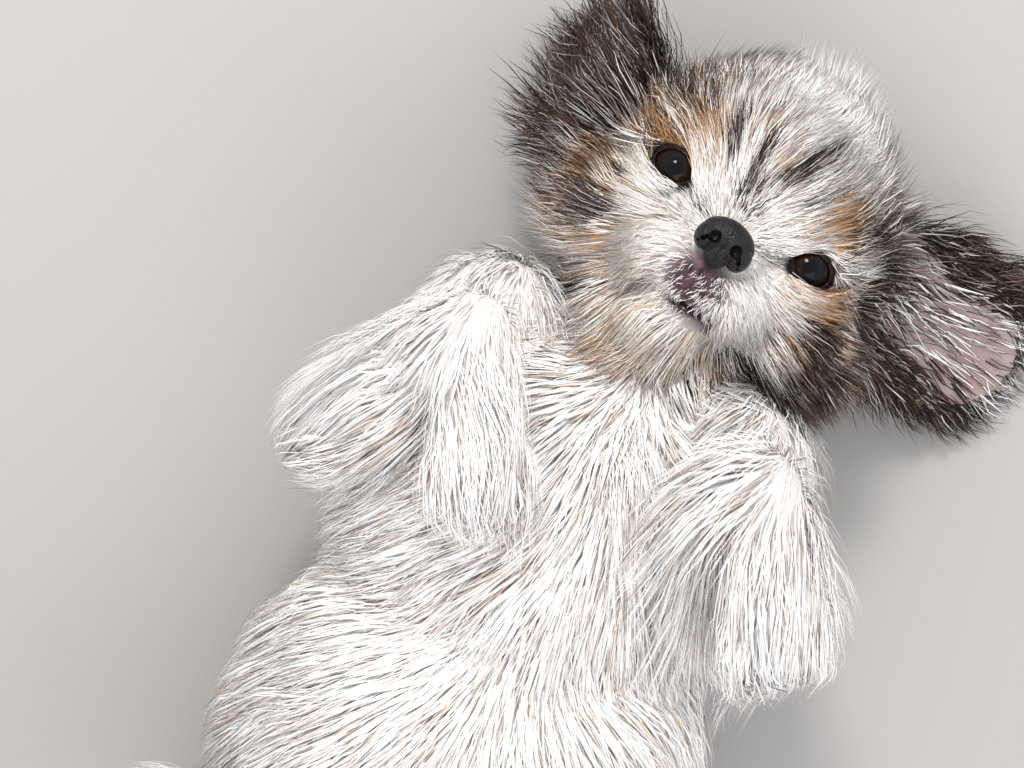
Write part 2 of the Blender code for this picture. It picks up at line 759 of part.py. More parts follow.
def coats():
    """Each node's coats, in the order in which their locks take their room."""
    anywhere = lambda point, normal: True
    yield "head", Coat(
        beard_lie, 0.0160, 0.037, 0.0200, 0.0030, 0.75, 0.024,
        lambda point, normal: in_beard(point) and normal.z > -0.3,
        None, over_eye_or_mouth, most=10,
    )
    yield "head", Coat(
        head_lie, 0.0180, 0.029, 0.0225, 0.0032, 0.42, 0.0125,
        lambda point, normal: point.z > 0.012 and normal.z > -0.6 and not over_eye_or_mouth(point)
        and not in_beard(point),
        face_size, over_eye_or_mouth, most=32,
    )
    for side in (LEFT, RIGHT):
        name = SIDE_NAMES[side]
        fringe = EAR_FRINGE[side]
        yield "ear_" + name, Coat(
            ear_lie(side), 0.0175, fringe, 0.0210, 0.0024, 0.18, 0.009, on_ear(side), most=12
        )
        yield "forepaw_" + name, Coat(
            paw_lie(WRIST[side], FINGERTIP[side]), 0.0150, 0.0230, 0.0170, 0.0026, 0.20, 0.0060,
            above_soles(FOREPAW_SOLE[side]), most=8,
        )
    yield "foreleg_left", Coat(
        fringe_lie, 0.0170, 0.056, 0.0260, 0.0034, 0.25, 0.026,
        lambda point, normal: normal.x < 0.1 and point.z > 0.070, most=4,
    )
    for side in (LEFT, RIGHT):
        yield "foreleg_" + SIDE_NAMES[side], Coat(
            foreleg_lie(side), 0.0200, 0.040, 0.0250, 0.0034, 0.30, 0.011,
            lambda point, normal, side=side: side == RIGHT or normal.x > 0.1, most=11
        )
    yield "torso", Coat(
        torso_lie, 0.0285, 0.066, 0.038, 0.0042, 0.32, 0.0160,
        lambda point, normal: point.z > 0.010 and normal.z > -0.75, most=90,
    )
    yield "neck", Coat(
        neck_lie, 0.018, 0.036, 0.022, 0.0034, 0.25, 0.012, lambda point, normal: point.z > 0.010, most=6
    )
    for side in (LEFT, RIGHT):
        name = SIDE_NAMES[side]
        yield "hindpaw_" + name, Coat(
            paw_lie(HOCK[side], TOETIP[side]), 0.0150, 0.0220, 0.0160, 0.0026, 0.20, 0.0055,
            above_soles(HINDPAW_SOLE[side]), most=7,
        )
        yield "hindleg_" + name, Coat(
            hindleg_lie(side), 0.0240, 0.044, 0.028, 0.0036, 0.30, 0.010, anywhere, most=12
        )
    yield "tail", Coat(
        tail_lie, 0.0210, 0.050, 0.024, 0.0030, 0.35, 0.016, lambda point, normal: point.z > 0.004, most=9
    )


def scatter(obj, coat, draw):
    """Places for roots all over the node's core, none nearer to another than the spacing."""
    mesh = obj.data
    mesh.calc_loop_triangles()
    corners = [[mesh.vertices[i].co for i in face.vertices] for face in mesh.loop_triangles]
    normals = [face.normal.copy() for face in mesh.loop_triangles]
    reach = list(itertools.accumulate(face.area for face in mesh.loop_triangles))
    roots = []
    for _ in range(4000):
        index = bisect.bisect(reach, draw.random() * reach[-1])
        u, v = draw.random(), draw.random()
        if u + v > 1:
            u, v = 1 - u, 1 - v
        a, b, c = corners[index]
        point = a + (b - a) * u + (c - a) * v
        if not coat.grows(point, normals[index]):
            continue
        apart = coat.spacing * coat.size(point)
        if all((point - other).length > (apart + coat.spacing * coat.size(other)) / 2 for other, _ in roots):
            roots.append((point, normals[index]))
        if len(roots) >= coat.most:
            break
    return roots


def height_over(tree, point):
    """The nearest place on a surface, its normal, and the height over it, which is negative inside."""
    place, normal, _, distance = tree.find_nearest(point)
    inside = (point - place).dot(normal) < -0.6 * distance and distance < 0.03
    return place, normal, -distance if inside else distance


def comb(root, normal, coat, name, trees, draw, share):
    """A lock's middle line, from its root under the surface to its tip, and the way up at each point."""
    steps = 3
    scale = coat.size(root)
    length = coat.length * scale * draw.uniform(0.85, 1.2) * share
    rise = coat.rise * scale * draw.uniform(0.75, 1.2)
    half_thickness = coat.thickness * scale / 2
    room = half_thickness + coat.width * scale * 0.10 + LOCK_CLEARANCE
    turn = draw.uniform(-0.28, 0.28)
    line, ups = [root - normal * 0.0032], [normal]
    way = flat_along(coat.lie(root, normal), normal).normalized()
    way = (way + normal.cross(way) * turn + normal * coat.lift).normalized()
    point = root + normal * 0.0004
    up = normal
    for i in range(1, steps + 1):
        point = point + way * length / steps
        place, there, height = height_over(trees[name], point)
        most = rise * min(1.0, 0.45 + 0.75 * i / steps)
        least = min(most, half_thickness * (1.6 if i < steps else 0.9))
        if height > most or height < least:
            point = place + there * max(least, min(most, height))
        point = keep_clear(point, room, half_thickness, name, trees)
        line.append(point)
        if (point - place).dot(there) > 0:
            up = (up * 0.6 + there).normalized()
        ups.append(up)
        ahead = flat_along(coat.lie(point, there), there).normalized()
        way = (way * 0.55 + ahead * 0.6 + Vector((0, 0, -0.08)) - there * 0.05).normalized()
    return line, ups, scale


def keep_clear(point, room, half_thickness, name, trees):
    """Moves a point out of the floor and out of every other node's body."""
    for _ in range(2):
        for other, tree in trees.items():
            if other == name:
                continue
            place, normal, height = height_over(tree, point)
            if height < 0:
                point = place + normal * room
            elif height < room:
                point = place + (point - place).normalized() * room
        point.z = max(point.z, FLOOR + half_thickness + LOCK_CLEARANCE)
    return point


def sections(line, ups, width, thickness, count):
    """The middle, sideways half-width and half-depth vectors at each point of a lock's line."""
    widths, depths = (0.66, 1.00, 0.82, 0.80), (1.00, 0.90, 0.70, 0.50)
    for i in range(count):
        along = (line[min(i + 1, len(line) - 1)] - line[max(0, i - 1)]).normalized()
        across = along.cross(ups[i]).normalized()
        up = across.cross(along).normalized()
        yield line[i], across * width / 2 * widths[i], up * thickness / 2 * depths[i]


def above_floor(point):
    return Vector((point.x, point.y, max(point.z, FLOOR + 0.0004)))


def lock(line, ups, width, thickness, reaches):
    """A flat lock that bends along its line and parts into three pointed tips of unlike reach."""
    mesh_editor = bmesh.new()
    rings = []
    for middle, across, up in sections(line, ups, width, thickness, 3):
        droop = up * 0.5 + up.normalized() * across.length * 0.12
        ring = (
            middle - across - droop,
            middle - across * 0.32 + up,
            middle + across * 0.32 + up,
            middle + across - droop,
            middle + across * 0.32 - up,
            middle - across * 0.32 - up,
        )
        rings.append([mesh_editor.verts.new(above_floor(point)) for point in ring])
    mesh_editor.faces.new(list(reversed(rings[0])))
    for nearer, farther in zip(rings, rings[1:]):
        for i in range(6):
            j = (i + 1) % 6
            mesh_editor.faces.new((nearer[i], nearer[j], farther[j], farther[i]))
    last = rings[2]
    for cell, side, reach in zip(((0, 1, 5), (1, 2, 4, 5), (2, 3, 4)), (-0.85, 0.0, 0.85), reaches):
        end = line[2] + (line[3] - line[2]) * reach + across * side
        tip = mesh_editor.verts.new(above_floor(end))
        for i in range(len(cell)):
            mesh_editor.faces.new((last[cell[i]], last[cell[(i + 1) % len(cell)]], tip))
    bmesh.ops.recalc_face_normals(mesh_editor, faces=mesh_editor.faces[:])
    return add_object("lock", mesh_editor, helpers)


def room_of(line, ups, width, thickness, reach):
    """The room round a lock that other nodes' locks keep out of, as a search tree and its box."""
    mesh_editor = bmesh.new()
    line = line[:3] + [line[2] + (line[3] - line[2]) * reach]
    rings = []
    for middle, across, up in sections(line, ups, width, thickness, 4):
        wide = across + across.normalized() * CUTTER_GROWTH
        deep = up + up.normalized() * (CUTTER_GROWTH + across.length * 0.06)
        middle = middle - up.normalized() * across.length * 0.06
        rings.append([middle + wide - deep, middle + wide + deep, middle - wide + deep, middle - wide - deep])
    loft(mesh_editor, rings)
    tree = BVHTree.FromBMesh(mesh_editor)
    low = Vector(min(vertex.co[i] for vertex in mesh_editor.verts) for i in range(3))
    high = Vector(max(vertex.co[i] for vertex in mesh_editor.verts) for i in range(3))
    mesh_editor.free()
    return tree, low, high


def grow_coats(cores):
    """Combs every node's locks clear of the other nodes and their locks, and fuses them with its core."""
    trees = {name: tree_of(obj) for name, obj in cores.items()}
    thick = {name: outside(obj, CUTTER_GROWTH) for name, obj in cores.items()}
    taken = [(name, tree_of(obj), *bounds_of(obj)) for name, obj in thick.items()]
    for obj in thick.values():
        bpy.data.objects.remove(obj)
    grown = {name: [] for name in cores}
    for seed, (name, coat) in enumerate(coats()):
        draw = random.Random(COMB_SEED + seed)
        for root, normal in scatter(cores[name], coat, draw):
            for share in (1.0, 0.85, 0.7, 0.55):
                line, ups, scale = comb(root, normal, coat, name, trees, draw, share)
                width = coat.width * scale * draw.uniform(0.85, 1.15) * (0.5 + share / 2)
                reaches = [draw.uniform(0.55, 0.85), draw.uniform(0.90, 1.10), draw.uniform(0.55, 0.85)]
                if any(coat.bars(point) for point in line[1:]):
                    continue
                made = lock(line, ups, width, coat.thickness * scale, reaches)
                if crosses(made, name, taken):
                    bpy.data.objects.remove(made)
                    continue
                grown[name].append(made)
                taken.append((name, *room_of(line, ups, width, coat.thickness * scale, max(reaches))))
                break
    for name, locks in grown.items():
        fuse(cores[name], locks)


def crosses(obj, name, taken):
    """Whether a lock meets another node's body or locks."""
    low, high = bounds_of(obj)
    tree = tree_of(obj)
    for other, room, other_low, other_high in taken:
        if other == name or any(other_low[i] > high[i] or other_high[i] < low[i] for i in range(3)):
            continue
        if tree.overlap(room):
            return True
    return False


def bounds_of(obj):
    places = [vertex.co for vertex in obj.data.vertices]
    low = Vector(min(place[i] for place in places) for i in range(3))
    high = Vector(max(place[i] for place in places) for i in range(3))
    return low, high


def paint(cores):
    """Gives each node its material."""
    white = material("white_coat", WHITE_COAT, 0.75)
    mixed = material("mixed_coat", MIXED_COAT, 0.75)
    dark = material("dark_coat", DARK_COAT, 0.75)
    leather = material("nose_leather", WET_BLACK, 0.35)
    eye_glass = material("eye", EYE_BROWN, 0.06)
    for name, obj in cores.items():
        obj.data.materials.clear()
        if name.startswith("eye"):
            obj.data.materials.append(eye_glass)
        elif name == "nose":
            obj.data.materials.append(leather)
        elif name.startswith("ear") or name == "neck":
            obj.data.materials.append(dark)
        elif name == "head":
            obj.data.materials.append(mixed)
        else:
            obj.data.materials.append(white)


clear_scene()
model = new_collection("shih tzu puppy")
helpers = new_collection("cutters", shown=False)
nodes = build_cores()
grow_coats(nodes)
paint(nodes)
bpy.data.collections.remove(helpers)
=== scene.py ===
"""A shih tzu puppy lying on its back, dressed: skin, eyes, nose leather, claws and a long soft coat.

Metres, in the frame's own axes: +Y to the head, +Z up from the floor, and the puppy's left at +X.
"""

import math

import bmesh
import bpy
import numpy as np
from mathutils import Matrix, Vector
from mathutils.bvhtree import BVHTree
from mathutils.kdtree import KDTree


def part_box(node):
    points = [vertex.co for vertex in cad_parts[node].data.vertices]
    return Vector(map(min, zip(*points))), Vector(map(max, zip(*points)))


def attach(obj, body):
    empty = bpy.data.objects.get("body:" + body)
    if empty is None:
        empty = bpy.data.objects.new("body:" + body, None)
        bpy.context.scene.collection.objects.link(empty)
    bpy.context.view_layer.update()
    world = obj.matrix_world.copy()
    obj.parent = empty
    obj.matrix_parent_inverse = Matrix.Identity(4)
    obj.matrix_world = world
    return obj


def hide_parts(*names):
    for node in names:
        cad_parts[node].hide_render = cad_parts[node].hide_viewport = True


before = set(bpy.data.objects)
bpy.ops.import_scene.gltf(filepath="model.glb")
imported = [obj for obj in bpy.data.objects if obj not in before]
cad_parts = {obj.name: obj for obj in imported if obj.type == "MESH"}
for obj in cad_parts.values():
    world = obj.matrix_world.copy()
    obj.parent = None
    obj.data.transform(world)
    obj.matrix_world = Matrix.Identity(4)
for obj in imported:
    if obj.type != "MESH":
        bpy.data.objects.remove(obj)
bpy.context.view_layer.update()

# Sides of the puppy
LEFT, RIGHT = 1, -1
SIDES = {LEFT: "left", RIGHT: "right"}

# Sizes of the head, from between the eyes
EYE_DEPTH = 0.0035
EYE_RADIUS = 0.0082
LID_HALF_WIDTH = 0.0068
LID_HALF_HEIGHT = 0.0044
LID_THICKNESS = 0.0011
NOSE_PLACE = (0.0, -0.0105, 0.0175)
SKULL_RADII = (0.0355, 0.0350, 0.0470)
MUZZLE_RADII = (0.0178, 0.0138, 0.0190)
MOUTH_HALF_WIDTH = 0.0125
EAR_LENGTH = {1: 0.066, -1: 0.060}
EAR_HALF_WIDTH = 0.024
EAR_THICKNESS = 0.0022

# Sizes of the body under its coat
CHEST_RADII = (0.056, 0.061, 0.0495)
BELLY_RADII = (0.063, 0.078, 0.0467)
RUMP_RADII = (0.046, 0.045, 0.0390)

# Joints of the limbs and points of the tail
SHOULDER = {LEFT: Vector((0.034, 0.014, 0.056)), RIGHT: Vector((-0.046, 0.014, 0.056))}
ELBOW = {LEFT: Vector((0.060, -0.030, 0.064)), RIGHT: Vector((-0.070, -0.032, 0.070))}
WRIST = {LEFT: Vector((0.041, 0.007, 0.114)), RIGHT: Vector((-0.050, 0.008, 0.114))}
FINGERTIP = {LEFT: Vector((0.071, -0.036, 0.100)), RIGHT: Vector((-0.024, -0.037, 0.110))}
HIP = {LEFT: Vector((0.032, -0.166, 0.044)), RIGHT: Vector((-0.028, -0.172, 0.044))}
STIFLE = {LEFT: Vector((0.070, -0.150, 0.067)), RIGHT: Vector((-0.060, -0.166, 0.070))}
HOCK = {LEFT: Vector((0.086, -0.196, 0.064)), RIGHT: Vector((-0.079, -0.211, 0.072))}
TOETIP = {LEFT: Vector((0.082, -0.232, 0.090)), RIGHT: Vector((-0.084, -0.243, 0.100))}
FOREPAW_SOLE = {LEFT: Vector((0.25, -0.35, -1.0)), RIGHT: Vector((-0.2, -0.2, -1.0))}
HINDPAW_SOLE = {LEFT: Vector((0.2, -0.9, 0.35)), RIGHT: Vector((-0.2, -0.9, 0.35))}
TAIL_ROUTE = [
    Vector((0.002, -0.188, 0.030)),
    Vector((0.006, -0.212, 0.018)),
    Vector((0.020, -0.236, 0.0125)),
    Vector((0.041, -0.252, 0.0110)),
    Vector((0.066, -0.258, 0.0100)),
]

# Fineness of the skin, and how far hair keeps from the floor
FINE_VOXEL = 0.00134
COARSE_VOXEL = 0.0024
FLOOR_GAP = 0.0005


def middle_of(node):
    low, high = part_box(node)
    return (low + high) / 2


def find_head_frame():
    """The head's own axes, from its two eyes: across to its left, up to its crown, forward to its nose."""
    left, right = middle_of("eye_left"), middle_of("eye_right")
    across = (left - right).normalized()
    up = Vector((0, 0, 1)).cross(across).normalized()
    forward = across.cross(up).normalized()
    turn = Matrix((across, up, forward)).transposed().to_4x4()
    return Matrix.Translation((left + right) / 2 + forward * EYE_DEPTH) @ turn


head_frame = find_head_frame()
head_turn = head_frame.to_3x3()
HEAD_ORIGIN = np.array(head_frame.translation)
HEAD_AXES = np.array(head_turn)
EYE_HALF_SPACING = (middle_of("eye_left") - middle_of("eye_right")).length / 2


def on_head(across, up, forward):
    return head_frame @ Vector((across, up, forward))


def to_head(points):
    """Places of the frame as places of the head."""
    return (points - HEAD_ORIGIN) @ HEAD_AXES


def from_head(vectors):
    """Directions of the head as directions of the frame."""
    return vectors @ HEAD_AXES.T


def eye_centre(side):
    return on_head(side * EYE_HALF_SPACING, 0.0, -EYE_DEPTH)


def eye_gaze(side):
    outward = math.radians(16.0) * side
    return head_turn @ Vector((math.sin(outward), 0.0, math.cos(outward)))


def eye_turn(side):
    """The eye's own axes, with its gaze along Z and the crown along Y."""
    gaze = eye_gaze(side)
    up = head_turn @ Vector((0, 1, 0))
    across = up.cross(gaze).normalized()
    return Matrix((across, gaze.cross(across).normalized(), gaze)).transposed().to_4x4()


def mouth_point(share):
    """A point of the mouth's line, from its right corner at -1 to its left corner at 1."""
    return on_head(
        0.0015 + MOUTH_HALF_WIDTH * share,
        -0.0290 - 0.0016 * math.cos(share * math.pi / 2) + 0.0012 * abs(share),
        0.0085 - 0.0115 * share * share,
    )


# Small tools for arrays of points


def unit(vectors):
    return vectors / np.maximum(np.linalg.norm(vectors, axis=-1, keepdims=True), 1e-12)


def dots(a, b):
    return np.einsum("ij,ij->i", a, b)


def flat_along(vectors, normals, hug=1.0):
    return vectors - normals * (hug * dots(vectors, normals))[:, None]


def ramp(values, start, end):
    """0 at start and 1 at end, smooth between them. Start may lie above end."""
    share = np.clip((values - start) / (end - start), 0.0, 1.0)
    return share * share * (3 - 2 * share)


def wander(points, size, seed):
    """Smooth random values from 0 to 1, which change over about that size."""
    side = 24
    lattice = np.random.default_rng(seed).random((side, side, side))
    scaled = points / size + 1000.0
    base = np.floor(scaled).astype(int)
    part = scaled - base
    part = part * part * (3 - 2 * part)
    total = np.zeros(len(points))
    for i in (0, 1):
        for j in (0, 1):
            for k in (0, 1):
                weight = np.ones(len(points))
                for axis, far in enumerate((i, j, k)):
                    weight *= part[:, axis] if far else 1 - part[:, axis]
                index = (base + (i, j, k)) % side
                total += weight * lattice[index[:, 0], index[:, 1], index[:, 2]]
    return total


def openness(points, side):
    """How far points are from the middle of the gap between an eye's lids, which ends at 1."""
    across, up, ahead = ((points - np.array(eye_centre(side))) @ np.array(eye_turn(side).to_3x3())).T
    return np.where(ahead > 0.001, np.hypot(across / LID_HALF_WIDTH, up / LID_HALF_HEIGHT), 9.0)


def below_nose(points, reach):
    """Whether points are at the dark skin between the nose leather and the mouth."""
    head = to_head(points)
    return (np.hypot((head[:, 0] - 0.0003) / 0.0112, (head[:, 1] + 0.0243) / 0.0090) < reach) & (head[:, 2] > 0.0)


# Forms that the flesh is made of


def join_in(editor, other):
    """Adds one bmesh to another, and frees it."""
    mesh = bpy.data.meshes.new("joined in")
    other.to_mesh(mesh)
    other.free()
    editor.from_mesh(mesh)
    bpy.data.meshes.remove(mesh)


class Ball:
    """An ellipsoid."""

    def __init__(self, centre, radii, turn=None):
        self.centre, self.radii, self.turn = Vector(centre), Vector(radii), turn or Matrix.Identity(4)

    def add(self, editor):
        placed = Matrix.Translation(self.centre) @ self.turn @ Matrix.Diagonal((*self.radii, 1.0))
        ball = bmesh.new()
        bmesh.ops.create_uvsphere(ball, u_segments=32, v_segments=20, radius=1.0, matrix=placed)
        join_in(editor, ball)

    def height(self, points):
        """How far points are over its surface, roughly."""
        inside = (points - np.array(self.centre)) @ np.array(self.turn.to_3x3()) / np.array(self.radii)
        return (np.linalg.norm(inside, axis=1) - 1.0) * min(self.radii)


class Bone:
    """A tapered length with round ends."""

    def __init__(self, start, end, start_radius, end_radius):
        self.start, self.end = Vector(start), Vector(end)
        self.radii = (start_radius, end_radius)

    def add(self, editor):
        bone = bmesh.new()
        bmesh.ops.create_uvsphere(bone, u_segments=24, v_segments=16, radius=1.0)
        turn = (self.end - self.start).to_track_quat("Z", "Y")
        for vertex in bone.verts:
            far = vertex.co.z > 0.05
            centre = self.end if far else self.start
            vertex.co = centre + turn @ (vertex.co * self.radii[1 if far else 0])
        join_in(editor, bone)

    def height(self, points):
        start, end = np.array(self.start), np.array(self.end)
        length = end - start
        share = np.clip((points - start) @ length / (length @ length), 0.0, 1.0)
        away = np.linalg.norm(points - start - share[:, None] * length, axis=1)
        return away - (self.radii[0] + (self.radii[1] - self.radii[0]) * share)


def chain(points, radii):
    return [Bone(points[i], points[i + 1], radii[i], radii[i + 1]) for i in range(len(points) - 1)]


def torso_forms():
    forms = [
        Ball((-0.005, -0.034, 0.047), CHEST_RADII),
        Ball((0.003, -0.098, 0.0440), BELLY_RADII),
        Ball((0.002, -0.156, 0.0390), RUMP_RADII),
        Ball((-0.002, -0.045, 0.0245), (0.040, 0.105, 0.0240)),
        Bone((-0.003, 0.012, 0.040), on_head(0, -0.018, -0.040), 0.033, 0.028),
    ]
    for side in SIDES:
        upper_arm = SHOULDER[side].lerp(ELBOW[side], 0.25)
        forms.append(Ball((upper_arm.x * 0.84, upper_arm.y, 0.046), (0.025, 0.030, 0.031)))
    return forms


def head_forms():
    """Skull, forehead, muzzle, bridge, chin, jaw, brows, cheeks and lip pads."""
    forms = [
        Ball(on_head(0, 0.008, -0.035), SKULL_RADII),
        Ball(on_head(0, 0.015, -0.015), (0.029, 0.021, 0.019)),
        Ball(on_head(0, -0.020, -0.003), MUZZLE_RADII),
        Ball(on_head(0, -0.0092, 0.0026), (0.0108, 0.0083, 0.0128)),
        Ball(on_head(0, -0.0322, -0.005), (0.0122, 0.0076, 0.0145)),
        Ball(on_head(0, -0.028, -0.025), (0.026, 0.016, 0.023)),
    ]
    for side in SIDES:
        forms.append(Ball(on_head(side * EYE_HALF_SPACING * 0.93, 0.0095, -0.0080), (0.0118, 0.0083, 0.0103)))
        forms.append(Ball(on_head(side * 0.0255, -0.013, -0.020), (0.0145, 0.0180, 0.0180)))
        forms.append(Ball(on_head(side * 0.0085, -0.0212, 0.0056), (0.0103, 0.0077, 0.0108)))
        forms.append(Ball(on_head(side * 0.0185, -0.0100, -0.0080), (0.0100, 0.0090, 0.0110)))
    return forms


def foreleg_forms(side):
    return chain((SHOULDER[side], ELBOW[side], WRIST[side]), (0.0195, 0.0130, 0.0110))


def hindleg_forms(side):
    return chain((HIP[side], STIFLE[side], HOCK[side]), (0.0285, 0.0170, 0.0110))


def tail_forms():
    return chain(TAIL_ROUTE, (0.0110, 0.0095, 0.0080, 0.0065, 0.0050))


def paw_axes(joint, tip, sole):
    along = (tip - joint).normalized()
    across = along.cross(sole).normalized()
    return across, across.cross(along).normalized(), along


def paw_toes(joint, tip, sole, half_width):
    """The middle of each of the four toes."""
    across, under, along = paw_axes(joint, tip, sole)
    reach = (tip - joint).length
    for i in range(4):
        place = (i - 1.5) / 1.5
        yield joint + along * reach * (0.84 - 0.05 * abs(place)) + across * place * half_width * 0.62


def pad_forms(joint, tip, sole, half_width):
    across, under, along = paw_axes(joint, tip, sole)
    turn = Matrix((across, under, along)).transposed().to_4x4()
    middle = joint + along * (tip - joint).length * 0.66
    forms = [Ball(middle + under * 0.0078 - along * 0.0010, (0.0072, 0.0043, 0.0058), turn)]
    for toe in paw_toes(joint, tip, sole, half_width):
        forms.append(Ball(toe + under * 0.0050 + along * 0.0018, (0.0032, 0.0025, 0.0037), turn))
    return forms


def paw_forms(joint, tip, sole, half_width):
    """A paw from its joint to its four toes, with its pads."""
    across, under, along = paw_axes(joint, tip, sole)
    turn = Matrix((across, under, along)).transposed().to_4x4()
    reach = (tip - joint).length
    forms = [
        Bone(joint, joint + along * reach * 0.62, 0.0108, 0.0115),
        Ball(joint + along * reach * 0.66, (half_width, 0.0094, 0.0146), turn),
    ]
    for toe in paw_toes(joint, tip, sole, half_width):
        forms.append(Ball(toe, (0.0044, 0.0060, 0.0090), turn))
    return forms + pad_forms(joint, tip, sole, half_width)


FOREPAW = {side: (WRIST[side], FINGERTIP[side], FOREPAW_SOLE[side], 0.0135) for side in SIDES}
HINDPAW = {side: (HOCK[side], TOETIP[side], HINDPAW_SOLE[side], 0.0130) for side in SIDES}


# Ears


def ear_outline(share):
    """Half the ear's width at a share of its length: narrow at the root, widest past the middle."""
    rounded = 1.0 if share < 0.8 else math.sqrt(max(0.10, 1 - ((share - 0.8) / 0.215) ** 2))
    widening = math.sin(math.pi * min(1.0, share * 0.92 + 0.06)) ** 0.8
    return EAR_HALF_WIDTH * (0.46 + 0.54 * widening) * rounded


def spread_ear(share, breadth):
    """A point of the left ear, which lies spread on the floor with its inside up."""
    fall = 0.0405 * (1 - share) ** 1.7 + 0.0048
    along = 0.033 + EAR_LENGTH[LEFT] * share
    cup = 0.0110 * breadth * breadth * (1 - share) ** 0.6
    fold = 0.0011 * math.sin(breadth * 5.0) * math.sin(math.pi * share)
    across = 0.002 + breadth * ear_outline(share) + 0.005 * share
    point = on_head(along, 0.010 + across, 0.0)
    return Vector((point.x, point.y, fall + cup + fold))


def flopped_ear(share, breadth):
    """A point of the right ear, which flops over with its back up."""
    bend = max(0.0, share - 0.38)
    along = 0.034 + EAR_LENGTH[RIGHT] * (0.74 * share - 0.42 * bend * bend)
    height = 0.0465 + 0.010 * math.sin(math.pi * min(1.0, share / 0.7)) - 0.068 * bend ** 1.4
    curl = 0.0120 * max(0.0, breadth) ** 3 * (0.5 + share)
    point = on_head(-along, 0.003 + breadth * ear_outline(share) * 0.95 + 0.008 * share, 0.0)
    return Vector((point.x, point.y, max(0.006, height - 0.004 * breadth * breadth) + curl))


EAR_LEAF = {LEFT: spread_ear, RIGHT: flopped_ear}


class Leaf:
    """An ear's leather as a form: a sheet with a short round root."""

    def __init__(self, side):
        self.place, self.side = EAR_LEAF[side], side
        self.points = [self.place(i / 14, -1 + j / 4) for i in range(15) for j in range(9)]

    def add(self, editor):
        leather = bmesh.new()
        bmesh.ops.create_grid(leather, x_segments=28, y_segments=20, size=1.0)
        for vertex in leather.verts:
            vertex.co = self.place((vertex.co.x + 1) / 2, vertex.co.y)
        bmesh.ops.solidify(leather, geom=leather.faces[:], thickness=EAR_THICKNESS)
        join_in(editor, leather)
        Bone(on_head(self.side * 0.028, 0.010, -0.036), self.place(0.16, 0.0), 0.0100, 0.0062).add(editor)

    def height(self, points):
        leaf = np.array([tuple(point) for point in self.points])
        return np.sqrt(((points[:, None, :] - leaf[None]) ** 2).sum(2).min(1)) - 0.003


REGIONS = {"head": head_forms(), "torso": torso_forms(), "tail": tail_forms()}
for side, word in SIDES.items():
    REGIONS["ear_" + word] = [Leaf(side)]
    REGIONS["foreleg_" + word] = foreleg_forms(side)
    REGIONS["forepaw_" + word] = paw_forms(*FOREPAW[side])
    REGIONS["hindleg_" + word] = hindleg_forms(side)
    REGIONS["hindpaw_" + word] = paw_forms(*HINDPAW[side])


# Objects and modifiers


def add_object(name, editor):
    mesh = bpy.data.meshes.new(name)
    editor.to_mesh(mesh)
    editor.free()
    obj = bpy.data.objects.new(name, mesh)
    bpy.context.scene.collection.objects.link(obj)
    return obj


def settle(obj):
    """Gives the object the mesh that its modifiers make, and drops them."""
    bpy.context.view_layer.update()
    graph = bpy.context.evaluated_depsgraph_get()
    mesh = bpy.data.meshes.new_from_object(obj.evaluated_get(graph))
    obj.modifiers.clear()
    obj.data = mesh
    return obj


def one_surface(name, forms, voxel, softness):
    """One smooth closed surface round all the forms."""
    editor = bmesh.new()
    for form in forms:
        form.add(editor)
    obj = add_object(name, editor)
    remesh = obj.modifiers.new("one surface", "REMESH")
    remesh.mode = "VOXEL"
    remesh.voxel_size = voxel
    smooth = obj.modifiers.new("soften", "SMOOTH")
    smooth.iterations = softness
    return settle(obj)


def combine(obj, other, operation):
    modifier = obj.modifiers.new("combine", "BOOLEAN")
    modifier.operation = operation
    modifier.object = other
    modifier.solver = "MANIFOLD"
    settle(obj)
    bpy.data.objects.remove(other)
    return obj


def shade_smooth(obj):
    obj.data.polygons.foreach_set("use_smooth", np.ones(len(obj.data.polygons), bool))
    return obj


def vertex_places(obj):
    places = np.zeros(len(obj.data.vertices) * 3)
    obj.data.vertices.foreach_get("co", places)
    return places.reshape(-1, 3)


def set_attribute(mesh, name, values):
    attribute = mesh.attributes.new(name, "FLOAT", "POINT")
    attribute.data.foreach_set("value", np.asarray(values, np.float32))


# Skin


class Lids:
    """The lids of both eyes: round covers over the eyeballs, which the gaps are cut through later."""

    def add(self, editor):
        for side in SIDES:
            Ball(eye_centre(side), (EYE_RADIUS + LID_THICKNESS,) * 3).add(editor)

    def height(self, points):
        return np.full(len(points), 1.0)


def eye_gap(side):
    """A cutter of the shape of the gap between an eye's lids, wider in front."""
    editor = bmesh.new()
    bmesh.ops.create_cone(editor, cap_ends=True, segments=64, radius1=0.84, radius2=1.16, depth=0.010)
    for vertex in editor.verts:
        across = min(1.0, abs(vertex.co.x))
        vertex.co.x *= LID_HALF_WIDTH
        vertex.co.y *= LID_HALF_HEIGHT * (1.06 - 0.30 * across ** 3)
        vertex.co.z += 0.0085
    bmesh.ops.transform(editor, matrix=Matrix.Translation(eye_centre(side)) @ eye_turn(side), verts=editor.verts)
    return add_object("eye gap", editor)


class Lips:
    """A soft rise along both sides of the mouth."""

    def add(self, editor):
        for step in range(-7, 8):
            share = step / 7
            size = 0.0023 * math.sqrt(1.05 - share * share * 0.8)
            Ball(mouth_point(share) + head_turn @ Vector((0, 0, -0.0012)), (size * 1.2, size, size)).add(editor)

    def height(self, points):
        return np.full(len(points), 1.0)


def mouth_track():
    return np.array([tuple(mouth_point(share)) for share in np.linspace(-1, 1, 41)])


